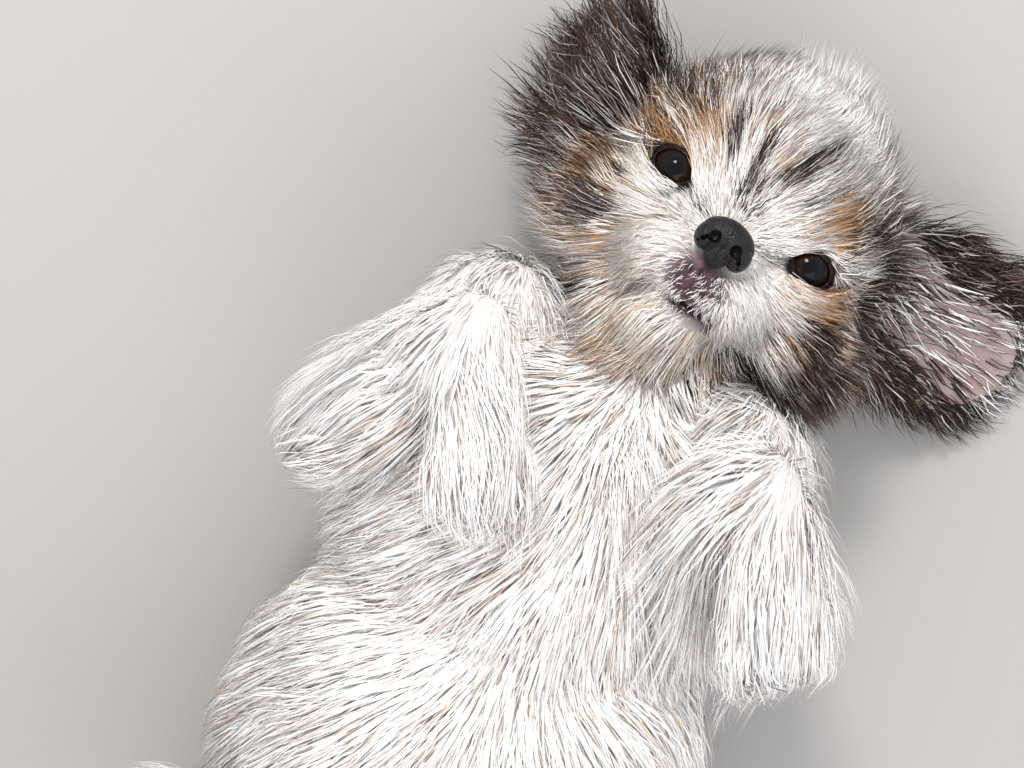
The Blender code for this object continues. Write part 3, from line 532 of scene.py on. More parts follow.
def sculpt_face(obj):
    """Presses the mouth's gap, the groove under the nose and the folds beside the muzzle into the skin."""
    places = vertex_places(obj)
    head = to_head(places)
    near = np.abs(head).max(1) < 0.06
    track = mouth_track()
    away = np.full(len(places), 1.0)
    away[near] = np.sqrt(((places[near][:, None] - track[None]) ** 2).sum(2).min(1))
    gap = 0.0011 + 0.0008 * ramp(head[:, 0], 0.007, -0.001)
    push = -0.0046 * np.exp(-((away / gap) ** 2))
    groove = np.exp(-((head[:, 0] / 0.0009) ** 2)) * ramp(head[:, 1], -0.0150, -0.0185) * (head[:, 1] > -0.0290)
    push -= 0.0012 * groove * (head[:, 2] > 0.004)
    for side in SIDES:
        fold = np.hypot((head[:, 0] - side * 0.0165) / 0.0030, (head[:, 1] + 0.0060) / 0.0085)
        push -= 0.0006 * np.exp(-fold ** 2) * (head[:, 2] > -0.02)
    moved = places + from_head(np.stack([np.zeros_like(push), np.zeros_like(push), push], 1))
    moved[:, 2] = np.maximum(moved[:, 2], 0.0)
    obj.data.vertices.foreach_set("co", moved.ravel())
    obj.data.update()


def refine_face(obj):
    """Splits the facets round the mouth and eyes, so that they take finer forms."""
    editor = bmesh.new()
    editor.from_mesh(obj.data)
    places = [mouth_point(share) for share in (-0.8, -0.4, 0.0, 0.4, 0.8)] + [on_head(0, -0.022, 0.012)]
    places += [eye_centre(side) + eye_gaze(side) * 0.004 for side in SIDES]
    tree = KDTree(len(places))
    for index, place in enumerate(places):
        tree.insert(place, index)
    tree.balance()
    for reach in (0.0110, 0.0092):
        edges = [edge for edge in editor.edges if tree.find(edge.verts[0].co)[2] < reach]
        bmesh.ops.subdivide_edges(editor, edges=edges, cuts=1, use_grid_fill=True)
    editor.to_mesh(obj.data)
    editor.free()


def build_skin():
    """The whole skin as one closed surface: fine on head, ears and paws, coarser on the body."""
    fine_names = [name for name in REGIONS if name.startswith(("head", "ear", "forepaw", "hindpaw"))]
    fine = [form for name in fine_names for form in REGIONS[name]]
    coarse = [form for name in REGIONS if name not in fine_names for form in REGIONS[name]]
    skin = one_surface("skin", fine + [Lids(), Lips()], FINE_VOXEL, 3)
    combine(skin, one_surface("body", coarse, COARSE_VOXEL, 6), "UNION")
    for side in SIDES:
        editor = bmesh.new()
        Ball(eye_centre(side), (EYE_RADIUS + 0.0001,) * 3).add(editor)
        combine(skin, add_object("socket", editor), "DIFFERENCE")
        combine(skin, eye_gap(side), "DIFFERENCE")
    refine_face(skin)
    sculpt_face(skin)
    return shade_smooth(skin)


# Markings, which skin and coat share


def spots(head, places):
    """The strongest of several soft spots on the face, each by its place in cm, radii and strength."""
    total = np.zeros(len(head))
    for across, up, wide, high, strength in places:
        away = np.hypot((head[:, 0] * 100 - across) / wide, (head[:, 1] * 100 - up) / high)
        total = np.maximum(total, strength * np.exp(-away ** 2))
    return total


TAN_SPOTS = (
    (-3.0, 0.7, 1.1, 0.8, 1.1), (-2.3, 1.5, 0.8, 0.6, 0.9), (2.3, 1.5, 0.9, 0.8, 1.0), (3.5, -0.6, 0.7, 0.9, 1.1),
    (-3.4, -2.8, 1.1, 0.9, 0.55), (-1.9, -3.9, 0.9, 0.6, 0.35), (0.1, 1.5, 0.7, 0.9, 0.45),
    (-4.2, 1.2, 1.2, 0.9, 0.7), (4.6, 0.8, 0.8, 1.6, 0.9), (4.4, -2.6, 0.9, 1.2, 0.8), (-4.4, -1.2, 0.9, 1.2, 0.7),
    (0.0, 0.6, 0.6, 0.8, 0.4), (-2.3, -4.2, 1.2, 0.9, 0.4), (-0.8, -5.4, 1.6, 0.8, 0.5), (-3.8, -1.6, 0.9, 1.0, 0.6),
    (3.9, -2.0, 1.0, 1.4, 0.9), (-3.4, 2.2, 1.2, 1.2, 0.7), (3.2, 2.4, 1.0, 1.0, 0.6), (2.5, -4.2, 0.8, 1.0, 0.6),
    (-1.2, 2.2, 0.6, 0.6, 0.45),
)
DARK_SPOTS = (
    (-3.75, -2.4, 0.60, 0.60, 1.1), (-2.95, -4.4, 0.6, 0.40, 1.1), (-2.7, -5.3, 0.5, 0.35, 1.0),
    (3.95, -1.9, 0.8, 0.7, 0.9), (3.9, -2.9, 0.7, 0.7, 1.1), (3.6, -4.1, 0.8, 0.8, 1.2), (2.7, -4.6, 0.6, 0.5, 1.0),
    (2.1, -3.5, 0.2, 0.8, 0.6), (-1.25, -0.35, 0.35, 0.22, 1.0), (1.25, -0.25, 0.4, 0.22, 1.0),
    (-4.6, 0.4, 0.5, 0.9, 0.9), (4.9, 1.6, 0.6, 1.2, 1.2), (4.9, -0.2, 0.6, 1.1, 1.2), (4.7, -2.4, 0.6, 0.8, 1.3),
    (1.7, -5.0, 0.6, 0.4, 1.0), (-4.9, -2.6, 0.5, 0.5, 1.0),
)
STREAKS = (
    (-0.50, 0.5, -0.85, 2.0, 0.09, 1.5), (-1.42, 1.1, -1.70, 1.9, 0.09, 1.4), (0.12, 1.4, 0.80, 2.9, 0.11, 1.8),
    (0.10, 0.3, 0.30, 1.2, 0.06, 1.1), (0.45, 1.4, 0.58, 2.1, 0.08, 1.4), (-0.18, 0.5, -0.22, 1.2, 0.06, 1.0),
    (1.20, 1.3, 1.45, 1.8, 0.07, 0.9), (-2.3, 1.9, -2.7, 2.5, 0.09, 1.0), (3.3, 1.2, 4.3, 1.7, 0.12, 1.1),
    (-3.1, 1.9, -3.7, 2.6, 0.10, 1.0), (3.2, -1.4, 4.2, -1.9, 0.12, 1.2), (1.9, -2.9, 2.3, -3.5, 0.06, 0.8),
    (-3.2, -1.0, -4.2, -1.0, 0.10, 1.1), (-3.0, -1.9, -4.0, -2.3, 0.10, 1.1), (-3.4, 0.0, -4.4, 0.2, 0.10, 1.0),
)


def streaks(head):
    """Thin dark lines of hair, each from one place to another in cm, with its width and strength."""
    total = np.zeros(len(head))
    flat = head[:, :2] * 100
    for start_across, start_up, end_across, end_up, width, strength in STREAKS:
        start, line = np.array((start_across, start_up)), np.array((end_across - start_across, end_up - start_up))
        share = np.clip((flat - start) @ line / (line @ line), 0.0, 1.0)
        away = np.linalg.norm(flat - start - share[:, None] * line, axis=1)
        total = np.maximum(total, strength * np.exp(-(away / width) ** 2))
    return total * (head[:, 2] > -0.03)


def markings(points, region_of):
    """How tan, dark, cream, black-tipped, bare and pigmented the puppy is at each point."""
    head = to_head(points)
    on_the_head = region_of == 0
    patchy = wander(points, 0.006, 11)
    broad = wander(points, 0.018, 12)
    radius = np.linalg.norm((head - np.array(NOSE_PLACE)) * np.array((1, 1, 0.6)), axis=1)

    around = np.arctan2(head[:, 0] - NOSE_PLACE[0], head[:, 1] - NOSE_PLACE[1])
    rays = wander(np.stack([around * 0.020, radius * 0.12, np.zeros(len(head))], 1), 0.0011, 13)
    fine_rays = wander(np.stack([around * 0.020, radius * 0.15, np.zeros(len(head))], 1), 0.0005, 14)
    tan = spots(head, TAN_SPOTS)
    outer = ramp(radius, 0.028, 0.050)
    blaze = np.exp(-(((head[:, 0] - 0.003) / 0.021) ** 4) - (((head[:, 1] - 0.046) / 0.018) ** 4))
    beard = ramp(head[:, 1], -0.024, -0.034) * ramp(head[:, 0], 0.036, 0.026)
    crown = ramp(head[:, 1], 0.018, 0.030)
    ring = ramp(radius, 0.034, 0.048) * (1 - blaze) * (1 - 0.8 * beard) * (1 - 0.65 * crown)
    patches = ramp(wander(points, 0.011, 15), 0.38, 0.62)
    tan = np.maximum(tan, outer * 0.30 * (0.30 + broad) + ring * 0.45 * (1 - patches)) * (1 - 0.97 * blaze)
    tan *= 0.40 + 0.7 * patchy + 0.6 * rays
    halo = np.exp(-((radius / 0.0190) ** 4))
    tan *= 1 - halo
    dark = np.maximum(spots(head, DARK_SPOTS) * (0.45 + 0.6 * patchy + 0.6 * fine_rays), streaks(head))
    dark = np.maximum(dark, ring * (0.20 + 0.65 * patches + 0.25 * ramp(head[:, 0], 0.020, 0.032)))
    forehead = spots(head, ((0.1, 1.4, 1.9, 1.5, 1.0), (-3.3, 0.9, 0.9, 1.6, 0.8), (3.3, 0.9, 0.9, 1.6, 0.7)))
    dark = np.maximum(dark, forehead * ramp(fine_rays, 0.66, 0.84) * ramp(rays, 0.35, 0.6))
    deep = 0.012 * ramp(head[:, 0], 0.012, 0.030)
    back_of_head = ramp(head[:, 2] - deep, -0.032, -0.050) * (1 - blaze)
    dark = np.maximum(dark, back_of_head * (0.60 + 0.5 * broad)) * (1 - halo)
    tips = outer * (0.35 + 0.9 * broad) * (1 - blaze) * (1 - 0.7 * beard) + 0.45 * spots(head, ((0.0, 1.6, 2.4, 1.2, 1.0),))
    cream = 0.04 + 0.40 * broad + 0.40 * (rays - 0.4) + 0.25 * ramp(head[:, 1], -0.030, -0.050)
    cream *= (1 - 0.9 * blaze) * (1 - 0.6 * halo)

    x, y, z = points.T
    saddle = ramp(z, 0.036, 0.020) * ramp(y, 0.0, -0.03) * ramp(y, -0.185, -0.15)
    ruff = ramp(y, 0.022, 0.036) * ramp(z, 0.062, 0.045) * (region_of == 1)
    body_dark = np.maximum(saddle * (0.35 + 0.9 * broad), ruff)
    body_tan = np.maximum(saddle * 0.8, ruff * 0.4)
    hollow = np.exp(-(((points - np.array((0.002, -0.030, 0.090))) / np.array((0.022, 0.045, 0.03))) ** 2).sum(1))
    body_cream = 0.03 + 0.16 * ramp(broad, 0.45, 0.8) + 0.25 * hollow * patchy
    ear = region_of == 2
    inner_ear = ramp(head[:, 0], 0.040, 0.050) * ramp(head[:, 1], 0.000, 0.010) * ramp(head[:, 1], 0.036, 0.030)
    ear_dark = (0.95 + 0.30 * ramp(patchy, 0.75, 0.4)) * (1 - 0.50 * inner_ear)
    ear_tan = (0.55 + 0.4 * ramp(broad, 0.4, 0.7)) * (1 - 0.8 * inner_ear)
    masks = {
        "tan": np.where(on_the_head, tan, np.where(ear, ear_tan, body_tan)),
        "dark": np.where(on_the_head, dark, np.where(ear, ear_dark, body_dark)),
        "tips": np.where(on_the_head, tips, np.where(ear, 0.8, saddle)),
        "cream": np.where(on_the_head, cream, body_cream),
    }
    lips = np.full(len(points), 1.0)
    near = np.abs(head).max(1) < 0.06
    lips[near] = np.sqrt(((points[near][:, None] - mouth_track()[None]) ** 2).sum(2).min(1))
    pigment = np.exp(-((lips / 0.0052) ** 2))
    under_nose = np.hypot((head[:, 0] - 0.0003) / 0.0116, (head[:, 1] + 0.0235) / 0.0096)
    pigment = np.maximum(pigment, np.exp(-under_nose ** 6) * (head[:, 2] > 0.0))
    lid = np.zeros(len(points))
    for side in SIDES:
        lid = np.maximum(lid, ramp(openness(points, side), 1.60, 1.25))
    lid = np.maximum(lid, 0.95 * np.exp(-((lips / 0.0017) ** 4)))
    pads = np.zeros(len(points))
    for paws in (FOREPAW, HINDPAW):
        for paw in paws.values():
            for form in pad_forms(*paw):
                pads = np.maximum(pads, ramp(form.height(points), 0.0012, 0.0002))
    masks["pigment"] = np.maximum(pigment, pads)
    masks["lid"] = lid
    inside_ear = ear & (head[:, 0] > 0)
    masks["bare"] = np.where(inside_ear, 1.0, 0.12)
    return {name: np.clip(values, 0.0, 1.0) for name, values in masks.items()}


KIND_OF = {"head": 0, "torso": 1, "ear": 2, "foreleg": 3, "forepaw": 4, "hindleg": 5, "hindpaw": 6, "tail": 7}


def nearest_region(points):
    """The name of the region that each point belongs to, and its kind as a number."""
    names = list(REGIONS)
    heights = np.stack([np.min([form.height(points) for form in REGIONS[name]], axis=0) for name in names])
    index = heights.argmin(0)
    kinds = np.array([KIND_OF[name.split("_")[0]] for name in names])
    return np.array(names)[index], kinds[index]


# Coat


def interpolate(values, *pairs):
    return np.interp(values, [pair[0] for pair in pairs], [pair[1] for pair in pairs])


def head_lie(points, normals):
    """The face's hair fans out from the nose, over the crown and down the cheeks."""
    head = to_head(points)
    away = head - np.array(NOSE_PLACE)
    away[:, 2] = 0.0
    away = unit(away)
    facing = np.maximum(0.0, dots(from_head(away), normals))
    away[:, 2] = -0.08 - 0.20 * facing
    return from_head(away)


def head_length(points):
    head = to_head(points)
    away = np.linalg.norm(head - np.array(NOSE_PLACE), axis=1)
    length = interpolate(away, (0.009, 0.0050), (0.014, 0.0120), (0.022, 0.0180), (0.034, 0.0230), (0.055, 0.0290))
    beard = ramp(head[:, 1], -0.026, -0.038)
    crown = ramp(head[:, 1], 0.022, 0.038)
    return np.where(below_nose(points, 0.95), 0.0028, length * (1 + 0.75 * beard + 0.15 * crown))


def torso_lie(points, normals):
    """Over chest and belly the coat runs tailward and outward, and it falls down the flanks."""
    part = np.clip((points[:, 0] + 0.002) / 0.030, -1, 1)
    ruff = ramp(points[:, 1], 0.010, 0.030)
    fall = -0.20 - 0.60 * (1.0 - np.maximum(0.0, normals[:, 2]))
    return np.stack([part * (0.75 + 0.5 * ruff), -0.80 + 0.3 * ruff, fall], 1)


def torso_length(points):
    top = ramp(points[:, 2], 0.055, 0.085)
    flank = ramp(np.abs(points[:, 0]), 0.040, 0.056) * ramp(points[:, 1], -0.05, -0.09)
    return 0.047 - 0.009 * top - 0.010 * ramp(points[:, 1], -0.02, 0.02) + 0.012 * flank


def climb(normals):
    """The forelegs' hair rises over the side that faces the head."""
    return 1.2 * np.maximum(0.0, normals[:, 1])


def inner_side(points, side):
    """Where the left foreleg's hair hangs over the chest as a curtain: high on the leg's inner side."""
    if side == RIGHT:
        return np.zeros(len(points))
    return ramp(WRIST[side].x - points[:, 0], -0.004, 0.006) * ramp(points[:, 2], 0.066, 0.080)


def foreleg_lie(side):
    def lie(points, normals):
        out = np.clip((points[:, 0] - WRIST[side].x) / 0.012, -1, 1)
        straight = np.stack([0.50 * out, np.full(len(points), -0.90), climb(normals) - 0.25], 1)
        curtain = inner_side(points, side)[:, None]
        return straight * (1 - curtain) + np.array((-side * 0.27, -0.96, -0.12)) * curtain
    return lie


def paw_lie(joint, tip):
    along = np.array((tip - joint).normalized())
    start = np.array(joint)

    def lie(points, normals):
        away = points - start
        across = away - (away @ along)[:, None] * along
        rise = climb(normals) * (joint in WRIST.values())
        return along + across * 14 + rise[:, None] * np.array((0, 0, 1))
    return lie


def hindleg_lie(side):
    upper = np.array((STIFLE[side] - HIP[side]).normalized())
    lower = np.array((HOCK[side] - STIFLE[side]).normalized())
    middle = np.array(STIFLE[side])

    def lie(points, normals):
        past = ramp((points - middle) @ lower, -0.01, 0.015)[:, None]
        return upper * (1 - past) + lower * past + np.array((side * 0.25, -0.2, -0.55))
    return lie


def ear_lie(side):
    place = EAR_LEAF[side]
    root, tip = np.array(place(0.0, 0.0)), np.array(place(0.8, 0.0))
    along = (tip - root) / np.linalg.norm(tip - root)

    def lie(points, normals):
        away = points - root
        across = away - (away @ along)[:, None] * along
        return along * 1.1 + across * 22
    return lie


def tail_lie(points, normals):
    route = np.array([tuple(point) for point in TAIL_ROUTE])
    middles = (route[1:] + route[:-1]) / 2
    nearest = ((points[:, None] - middles[None]) ** 2).sum(2).argmin(1)
    start, end = route[nearest], route[nearest + 1]
    along = unit(end - start)
    away = points - start
    across = away - along * dots(away, along)[:, None]
    return along + across * 35


def by_region(names, functions):
    """Joins the lies of several regions into one function of where the roots are."""
    def lie(points, normals):
        result = np.zeros_like(points)
        for region, function in functions.items():
            chosen = names == region
            if chosen.any():
                result[chosen] = function(points[chosen], normals[chosen])
        return result
    return lie


def ear_length(side):
    """Longest on the right ear, and short at the tip of the left one, which is at the coat's reach."""
    root, tip = np.array(EAR_LEAF[side](0.0, 0.0)), np.array(EAR_LEAF[side](1.0, 0.0))
    along = (tip - root) / ((tip - root) @ (tip - root))

    def length(points):
        share = (points - root) @ along
        return 0.026 + 0.001 * side - (0.011 * ramp(share, 0.5, 1.0) if side == LEFT else 0.0)
    return length


def foreleg_length(side):
    """Longest in the curtain, and short on the side that faces the head."""
    def length(points):
        ahead = ramp(points[:, 1] - WRIST[side].y, -0.002, 0.008)
        return (0.034 + 0.030 * inner_side(points, side)) * (1 - 0.5 * ahead)
    return length


def paw_length(side):
    """Longer on the left paw's inner side, next to the curtain."""
    inward = np.array((FINGERTIP[side].y - WRIST[side].y, WRIST[side].x - FINGERTIP[side].x, 0.0))
    inward /= np.linalg.norm(inward)

    def length(points):
        ahead = ramp(points[:, 1] - WRIST[side].y, -0.002, 0.008)
        inner = ramp((points - np.array(WRIST[side])) @ inward, 0.000, 0.009) * (side == LEFT)
        return (0.024 + 0.016 * inner) * (1 - 0.40 * ahead)
    return length


def same(value):
    return lambda points: np.full(len(points), value)


LIES = {"head": head_lie, "torso": torso_lie, "tail": tail_lie}
LENGTHS = {"head": head_length, "torso": torso_length, "tail": same(0.050)}
for side, word in SIDES.items():
    LIES["ear_" + word] = ear_lie(side)
    LIES["foreleg_" + word] = foreleg_lie(side)
    LIES["forepaw_" + word] = paw_lie(WRIST[side], FINGERTIP[side])
    LIES["hindleg_" + word] = hindleg_lie(side)
    LIES["hindpaw_" + word] = paw_lie(HOCK[side], TOETIP[side])
    LENGTHS["ear_" + word] = ear_length(side)
    LENGTHS["foreleg_" + word] = foreleg_length(side)
    LENGTHS["forepaw_" + word] = paw_length(side)
    LENGTHS["hindleg_" + word] = same(0.030)
    LENGTHS["hindpaw_" + word] = same(0.015)


class Coat:
    """One piece of the coat: where it grows and what its hair is like."""

    def __init__(self, name, slot, grows, count, width, lift, clump, pull, **more):
        self.name, self.slot, self.grows, self.count = name, slot, grows, count
        self.width, self.lift, self.clump, self.pull = width, lift, clump, pull
        self.rings = more.get("rings", 3)
        self.stray = more.get("stray", 0.22)
        self.depth = more.get("depth", 0.8)
        self.shorter = more.get("shorter", 1.0)
        self.hug = more.get("hug", 0.95)
        self.wave = more.get("wave", 0.0010)
        self.twist = more.get("twist", 0.5)
        self.loft = more.get("loft", 9.0)
        self.guard = more.get("guard", False)


def in_regions(*starts):
    return lambda names, points: np.array([name.startswith(starts) for name in names])


def on_face(names, points):
    head = to_head(points)
    return (names == "head") & (np.linalg.norm(head - np.array(NOSE_PLACE), axis=1) < 0.0385)


def on_the_head(names, points):
    return names == "head"


def on_crown(names, points):
    return (names == "head") & ~on_face(names, points) & (to_head(points)[:, 1] > -0.008)


def on_jaw(names, points):
    return (names == "head") & ~on_face(names, points) & (to_head(points)[:, 1] <= -0.008)


def on_chest(names, points):
    return (names == "torso") & (points[:, 2] > 0.004) & (points[:, 1] > -0.072)


def on_belly(names, points):
    return (names == "torso") & (points[:, 2] > 0.004) & (points[:, 1] <= -0.072)


def on_body_and_tail(names, points):
    return np.array([name.startswith(("torso", "tail")) for name in names]) & (points[:, 2] > 0.004)


def on_legs(names, points):
    return np.array([name.startswith(("fore", "hind", "tail")) for name in names]) & (points[:, 2] > 0.004)


def on_head_and_ears(names, points):
    return np.array([name.startswith(("head", "ear")) for name in names])


COATS = (
    Coat("undercoat_body", "white_coat", on_body_and_tail, 9500, 0.0014, 0.10, 0.010, 0.1, rings=2, depth=0.25,
         stray=0.12, shorter=0.75, twist=0.15),
    Coat("undercoat_legs", "white_coat", on_legs, 7500, 0.0012, 0.20, 0.008, 0.1, rings=2, depth=0.25,
         stray=0.12, shorter=0.75, twist=0.15, loft=0.20),
    Coat("undercoat_head", "mixed_coat", on_head_and_ears, 11000, 0.0008, 0.16, 0.004, 0.1, rings=2, depth=0.25,
         shorter=0.70, twist=0.15, loft=0.16),
    Coat("coat_face", "mixed_coat", on_face, 19400, 0.00031, 0.22, 0.0042, 0.38, rings=2, hug=0.80, wave=0.0010,
         loft=0.28, depth=0.6),
    Coat("guard_hairs", "mixed_coat", on_the_head, 3600, 0.00030, 0.34, 0.0040, 0.45, hug=0.80, wave=0.0012,
         loft=0.40, guard=True),
    Coat("coat_crown", "mixed_coat", on_crown, 10300, 0.00036, 0.26, 0.0060, 0.40, hug=0.75, wave=0.0016),
    Coat("coat_jaw", "mixed_coat", on_jaw, 9000, 0.00036, 0.28, 0.0060, 0.40, hug=0.55, wave=0.0016),
    Coat("coat_ears", "dark_coat", in_regions("ear"), 9500, 0.00034, 0.16, 0.0045, 0.30, wave=0.0014),
    Coat("coat_chest", "white_coat", on_chest, 11200, 0.00035, 0.12, 0.0090, 0.22, stray=0.13, wave=0.0020, depth=0.45,
         twist=0.3),
    Coat("coat_belly", "white_coat", on_belly, 10400, 0.00036, 0.12, 0.0090, 0.22, stray=0.13, wave=0.0020, depth=0.45,
         twist=0.3),
    Coat("coat_legs", "white_coat", on_legs, 11800, 0.00034, 0.24, 0.0080, 0.22, stray=0.13, wave=0.0014, loft=0.34,
         depth=0.45, twist=0.3),
)


class Surface:
    """The skin's triangles as arrays, with their regions and a search tree."""

    def __init__(self, skin):
        mesh = skin.data
        mesh.calc_loop_triangles()
        self.places = vertex_places(skin)
        normals = np.zeros(len(mesh.vertices) * 3)
        mesh.vertex_normals.foreach_get("vector", normals)
        self.normals = normals.reshape(-1, 3)
        corners = np.zeros(len(mesh.loop_triangles) * 3, int)
        mesh.loop_triangles.foreach_get("vertices", corners)
        self.corners = corners.reshape(-1, 3)
        a, b, c = (self.places[self.corners[:, i]] for i in range(3))
        self.areas = np.linalg.norm(np.cross(b - a, c - a), axis=1) / 2
        self.middles = (a + b + c) / 3
        self.names, self.kinds = nearest_region(self.middles)
        self.tree = BVHTree.FromPolygons(self.places.tolist(), self.corners.tolist())

    def nearest(self, points):
        """The nearest place on the skin, its normal and the height over it, for each point."""
        places, normals, heights = np.zeros_like(points), np.zeros_like(points), np.zeros(len(points))
        for index, point in enumerate(points):
            place, normal, _, distance = self.tree.find_nearest(point)
            places[index], normals[index], heights[index] = place, normal, distance
        below = dots(points - places, normals) < 0
        heights[below] *= -1
        return places, normals, heights


def unwrap(surface, chosen):
    """Corner places of the chosen triangles on an unwrap of the skin's own shape, from 0 to 1."""
    used, corners = np.unique(surface.corners[chosen], return_inverse=True)
    mesh = bpy.data.meshes.new("unwrap")
    mesh.from_pydata(surface.places[used].tolist(), [], corners.reshape(-1, 3).tolist())
    obj = bpy.data.objects.new("unwrap", mesh)
    bpy.context.scene.collection.objects.link(obj)
    mesh.uv_layers.new(name="OFBake")
    bpy.ops.object.select_all(action="DESELECT")
    obj.select_set(True)
    bpy.context.view_layer.objects.active = obj
    bpy.ops.object.mode_set(mode="EDIT")
    bpy.ops.mesh.select_all(action="SELECT")
    bpy.ops.uv.smart_project(angle_limit=math.radians(66), island_margin=0.004)
    bpy.ops.object.mode_set(mode="OBJECT")
    places = np.zeros(len(mesh.loops) * 2)
    mesh.uv_layers["OFBake"].data.foreach_get("uv", places)
    bpy.data.objects.remove(obj)
    bpy.data.meshes.remove(mesh)
    return places.reshape(-1, 3, 2)


def thinning(points, names):
    """How thickly hair grows at a place: none on eyes, lips, nose leather and pads, and little on the dark skin under
    the nose.
    """
    keep = np.ones(len(points))
    for side in SIDES:
        keep *= ramp(openness(points, side), 1.20, 1.45)
    nose = np.linalg.norm(points - np.array(on_head(*NOSE_PLACE)), axis=1)
    keep *= ramp(nose, 0.0085, 0.0105)
    track = mouth_track()
    near = np.abs(to_head(points)).max(1) < 0.05
    lips = np.full(len(points), 1.0)
    lips[near] = np.sqrt(((points[near][:, None] - track[None]) ** 2).sum(2).min(1))
    keep *= ramp(lips, 0.0012, 0.0028)
    head = to_head(points)
    pigment = np.exp(-np.hypot((head[:, 0] - 0.0003) / 0.0112, (head[:, 1] + 0.0235) / 0.0092) ** 4)
    keep *= 1 - 0.92 * pigment * (head[:, 2] > 0.0)
    for paws in (FOREPAW, HINDPAW):
        for paw in paws.values():
            for form in pad_forms(*paw):
                keep *= ramp(form.height(points), 0.0004, 0.0016)
    return keep


def density(surface, chosen, names):
    """How many hairs each triangle has, apart from its area."""
    points = surface.middles[chosen]
    keep = thinning(points, names)
    head = to_head(points)
    a, b, c = (surface.places[surface.corners[chosen][:, i]] for i in range(3))
    up = unit(np.cross(b - a, c - a))[:, 2]
    inside = (names == "ear_left") & (up > 0.1)
    rim = ramp(np.abs(head[:, 1] - 0.0145), 0.012, 0.020)
    keep = np.where(inside, keep * (0.09 + 0.91 * rim), keep)
    belly = np.exp(-(((points - np.array((0.006, -0.110, 0.090))) / np.array((0.030, 0.050, 0.03))) ** 2).sum(1))
    keep *= np.where(names == "torso", 1 - 0.45 * belly, 1.0)
    keep *= np.where(points[:, 2] < 0.006, 0.35, 1.0)
    return keep * np.where(names == "foreleg_left", 1 + 2.0 * inner_side(points, LEFT), 1.0)


def sample_roots(surface, coat, draw):
    """Random places for hair roots, each with its normal, region and place on the unwrap."""
    chosen = np.nonzero(coat.grows(surface.names, surface.middles))[0]
    names = surface.names[chosen]
    weights = surface.areas[chosen] * density(surface, chosen, names)
    if coat.grows is on_head_and_ears:
        weights *= ~below_nose(surface.middles[chosen], 1.1)
    if coat.guard:
        head = to_head(surface.middles[chosen])
        farther = head + unit(head - np.array(NOSE_PLACE)) * 0.007
        weights *= np.clip(streaks(farther) * 2.0 + spots(farther, DARK_SPOTS) - 0.25, 0.0, 2.0)
    if coat.name == "coat_face":
        head = to_head(surface.middles[chosen])
        weights *= interpolate(np.linalg.norm(head - np.array(NOSE_PLACE), axis=1), (0.010, 2.2), (0.030, 1.0))
    picked = draw.choice(len(chosen), coat.count, p=weights / weights.sum())
    u, v = draw.random(coat.count), draw.random(coat.count)
    over = u + v > 1
    u[over], v[over] = 1 - u[over], 1 - v[over]
    parts = np.stack([1 - u - v, u, v], 1)
    corners = surface.corners[chosen[picked]]
    roots = np.einsum("nk,nkj->nj", parts, surface.places[corners])
    normals = unit(np.einsum("nk,nkj->nj", parts, surface.normals[corners]))
    flat = np.einsum("nk,nkj->nj", parts, unwrap(surface, chosen)[picked])
    return roots, normals, names[picked], surface.kinds[chosen[picked]], flat


def turned(vectors, axes, angles):
    """Vectors turned about unit axes."""
    cosine, sine = np.cos(angles)[:, None], np.sin(angles)[:, None]
    return vectors * cosine + np.cross(axes, vectors) * sine + axes * dots(axes, vectors)[:, None] * (1 - cosine)


def comb(surface, coat, roots, normals, names, draw):
    """The hairs' middle lines, which start under the skin, rise and lie along the body, and the normals there."""
    count, steps = len(roots), coat.rings
    lie = by_region(names, LIES)
    lengths = np.zeros(count)
    for region in set(names):
        chosen = names == region
        lengths[chosen] = LENGTHS[region](roots[chosen])
    lengths *= draw.uniform(0.78, 1.15, count) * (0.82 + 0.36 * wander(roots, 0.012, 21)) * coat.shorter
    swirl = (wander(roots, 0.016, 22) - 0.5) * 1.1 + (wander(roots, 0.034, 25) - 0.5) * 0.7
    swirl += draw.normal(0, coat.stray, count)
    way = unit(flat_along(lie(roots, normals), normals))
    lift = coat.lift * (0.60 + 0.8 * wander(roots, 0.011, 23)) * draw.uniform(0.8, 1.2, count)
    lift[draw.random(count) < 0.04] *= 1.8
    way = unit(turned(way, normals, swirl) + normals * lift[:, None])
    hanging = 9.0 * inner_side(roots, LEFT) * (names == "foreleg_left")
    lines = [roots - normals * 0.0006]
    under = [normals]
    point = roots
    for step in range(steps):
        point = point + way * (lengths / steps)[:, None]
        place, there, height = surface.nearest(point)
        least = 0.0008 + 0.0006 * (step == 0)
        most = 0.0016 + (coat.loft * (step + 1) / steps + hanging) * lengths
        beyond = (height < least) | (height > most)
        point[beyond] = (place + there * np.clip(height, least, most)[:, None])[beyond]
        point[:, 2] = np.maximum(point[:, 2], FLOOR_GAP)
        lines.append(point.copy())
        under.append(there)
        ahead = unit(flat_along(lie(point, there), there, coat.hug))
        bend = (wander(point, 0.010, 24) - 0.5) * 0.9
        ahead = turned(ahead, there, bend)
        way = unit(way * 0.62 + ahead * 0.42 + np.array((0, 0, -0.10)) - there * 0.06)
    lines, under = np.stack(lines, 1), np.stack(under, 1)
    phase = wander(roots, 0.010, 26) * 12 + draw.normal(0, 0.5, count)
    share = np.linspace(0, 1, steps + 1)
    bow = np.sin(phase[:, None] + share * 5.0) - np.sin(phase)[:, None]
    aside = unit(np.cross(lines[:, -1] - lines[:, 0], normals))
    lines += (coat.wave * bow * share)[..., None] * aside[:, None]
    return lines, under, lengths


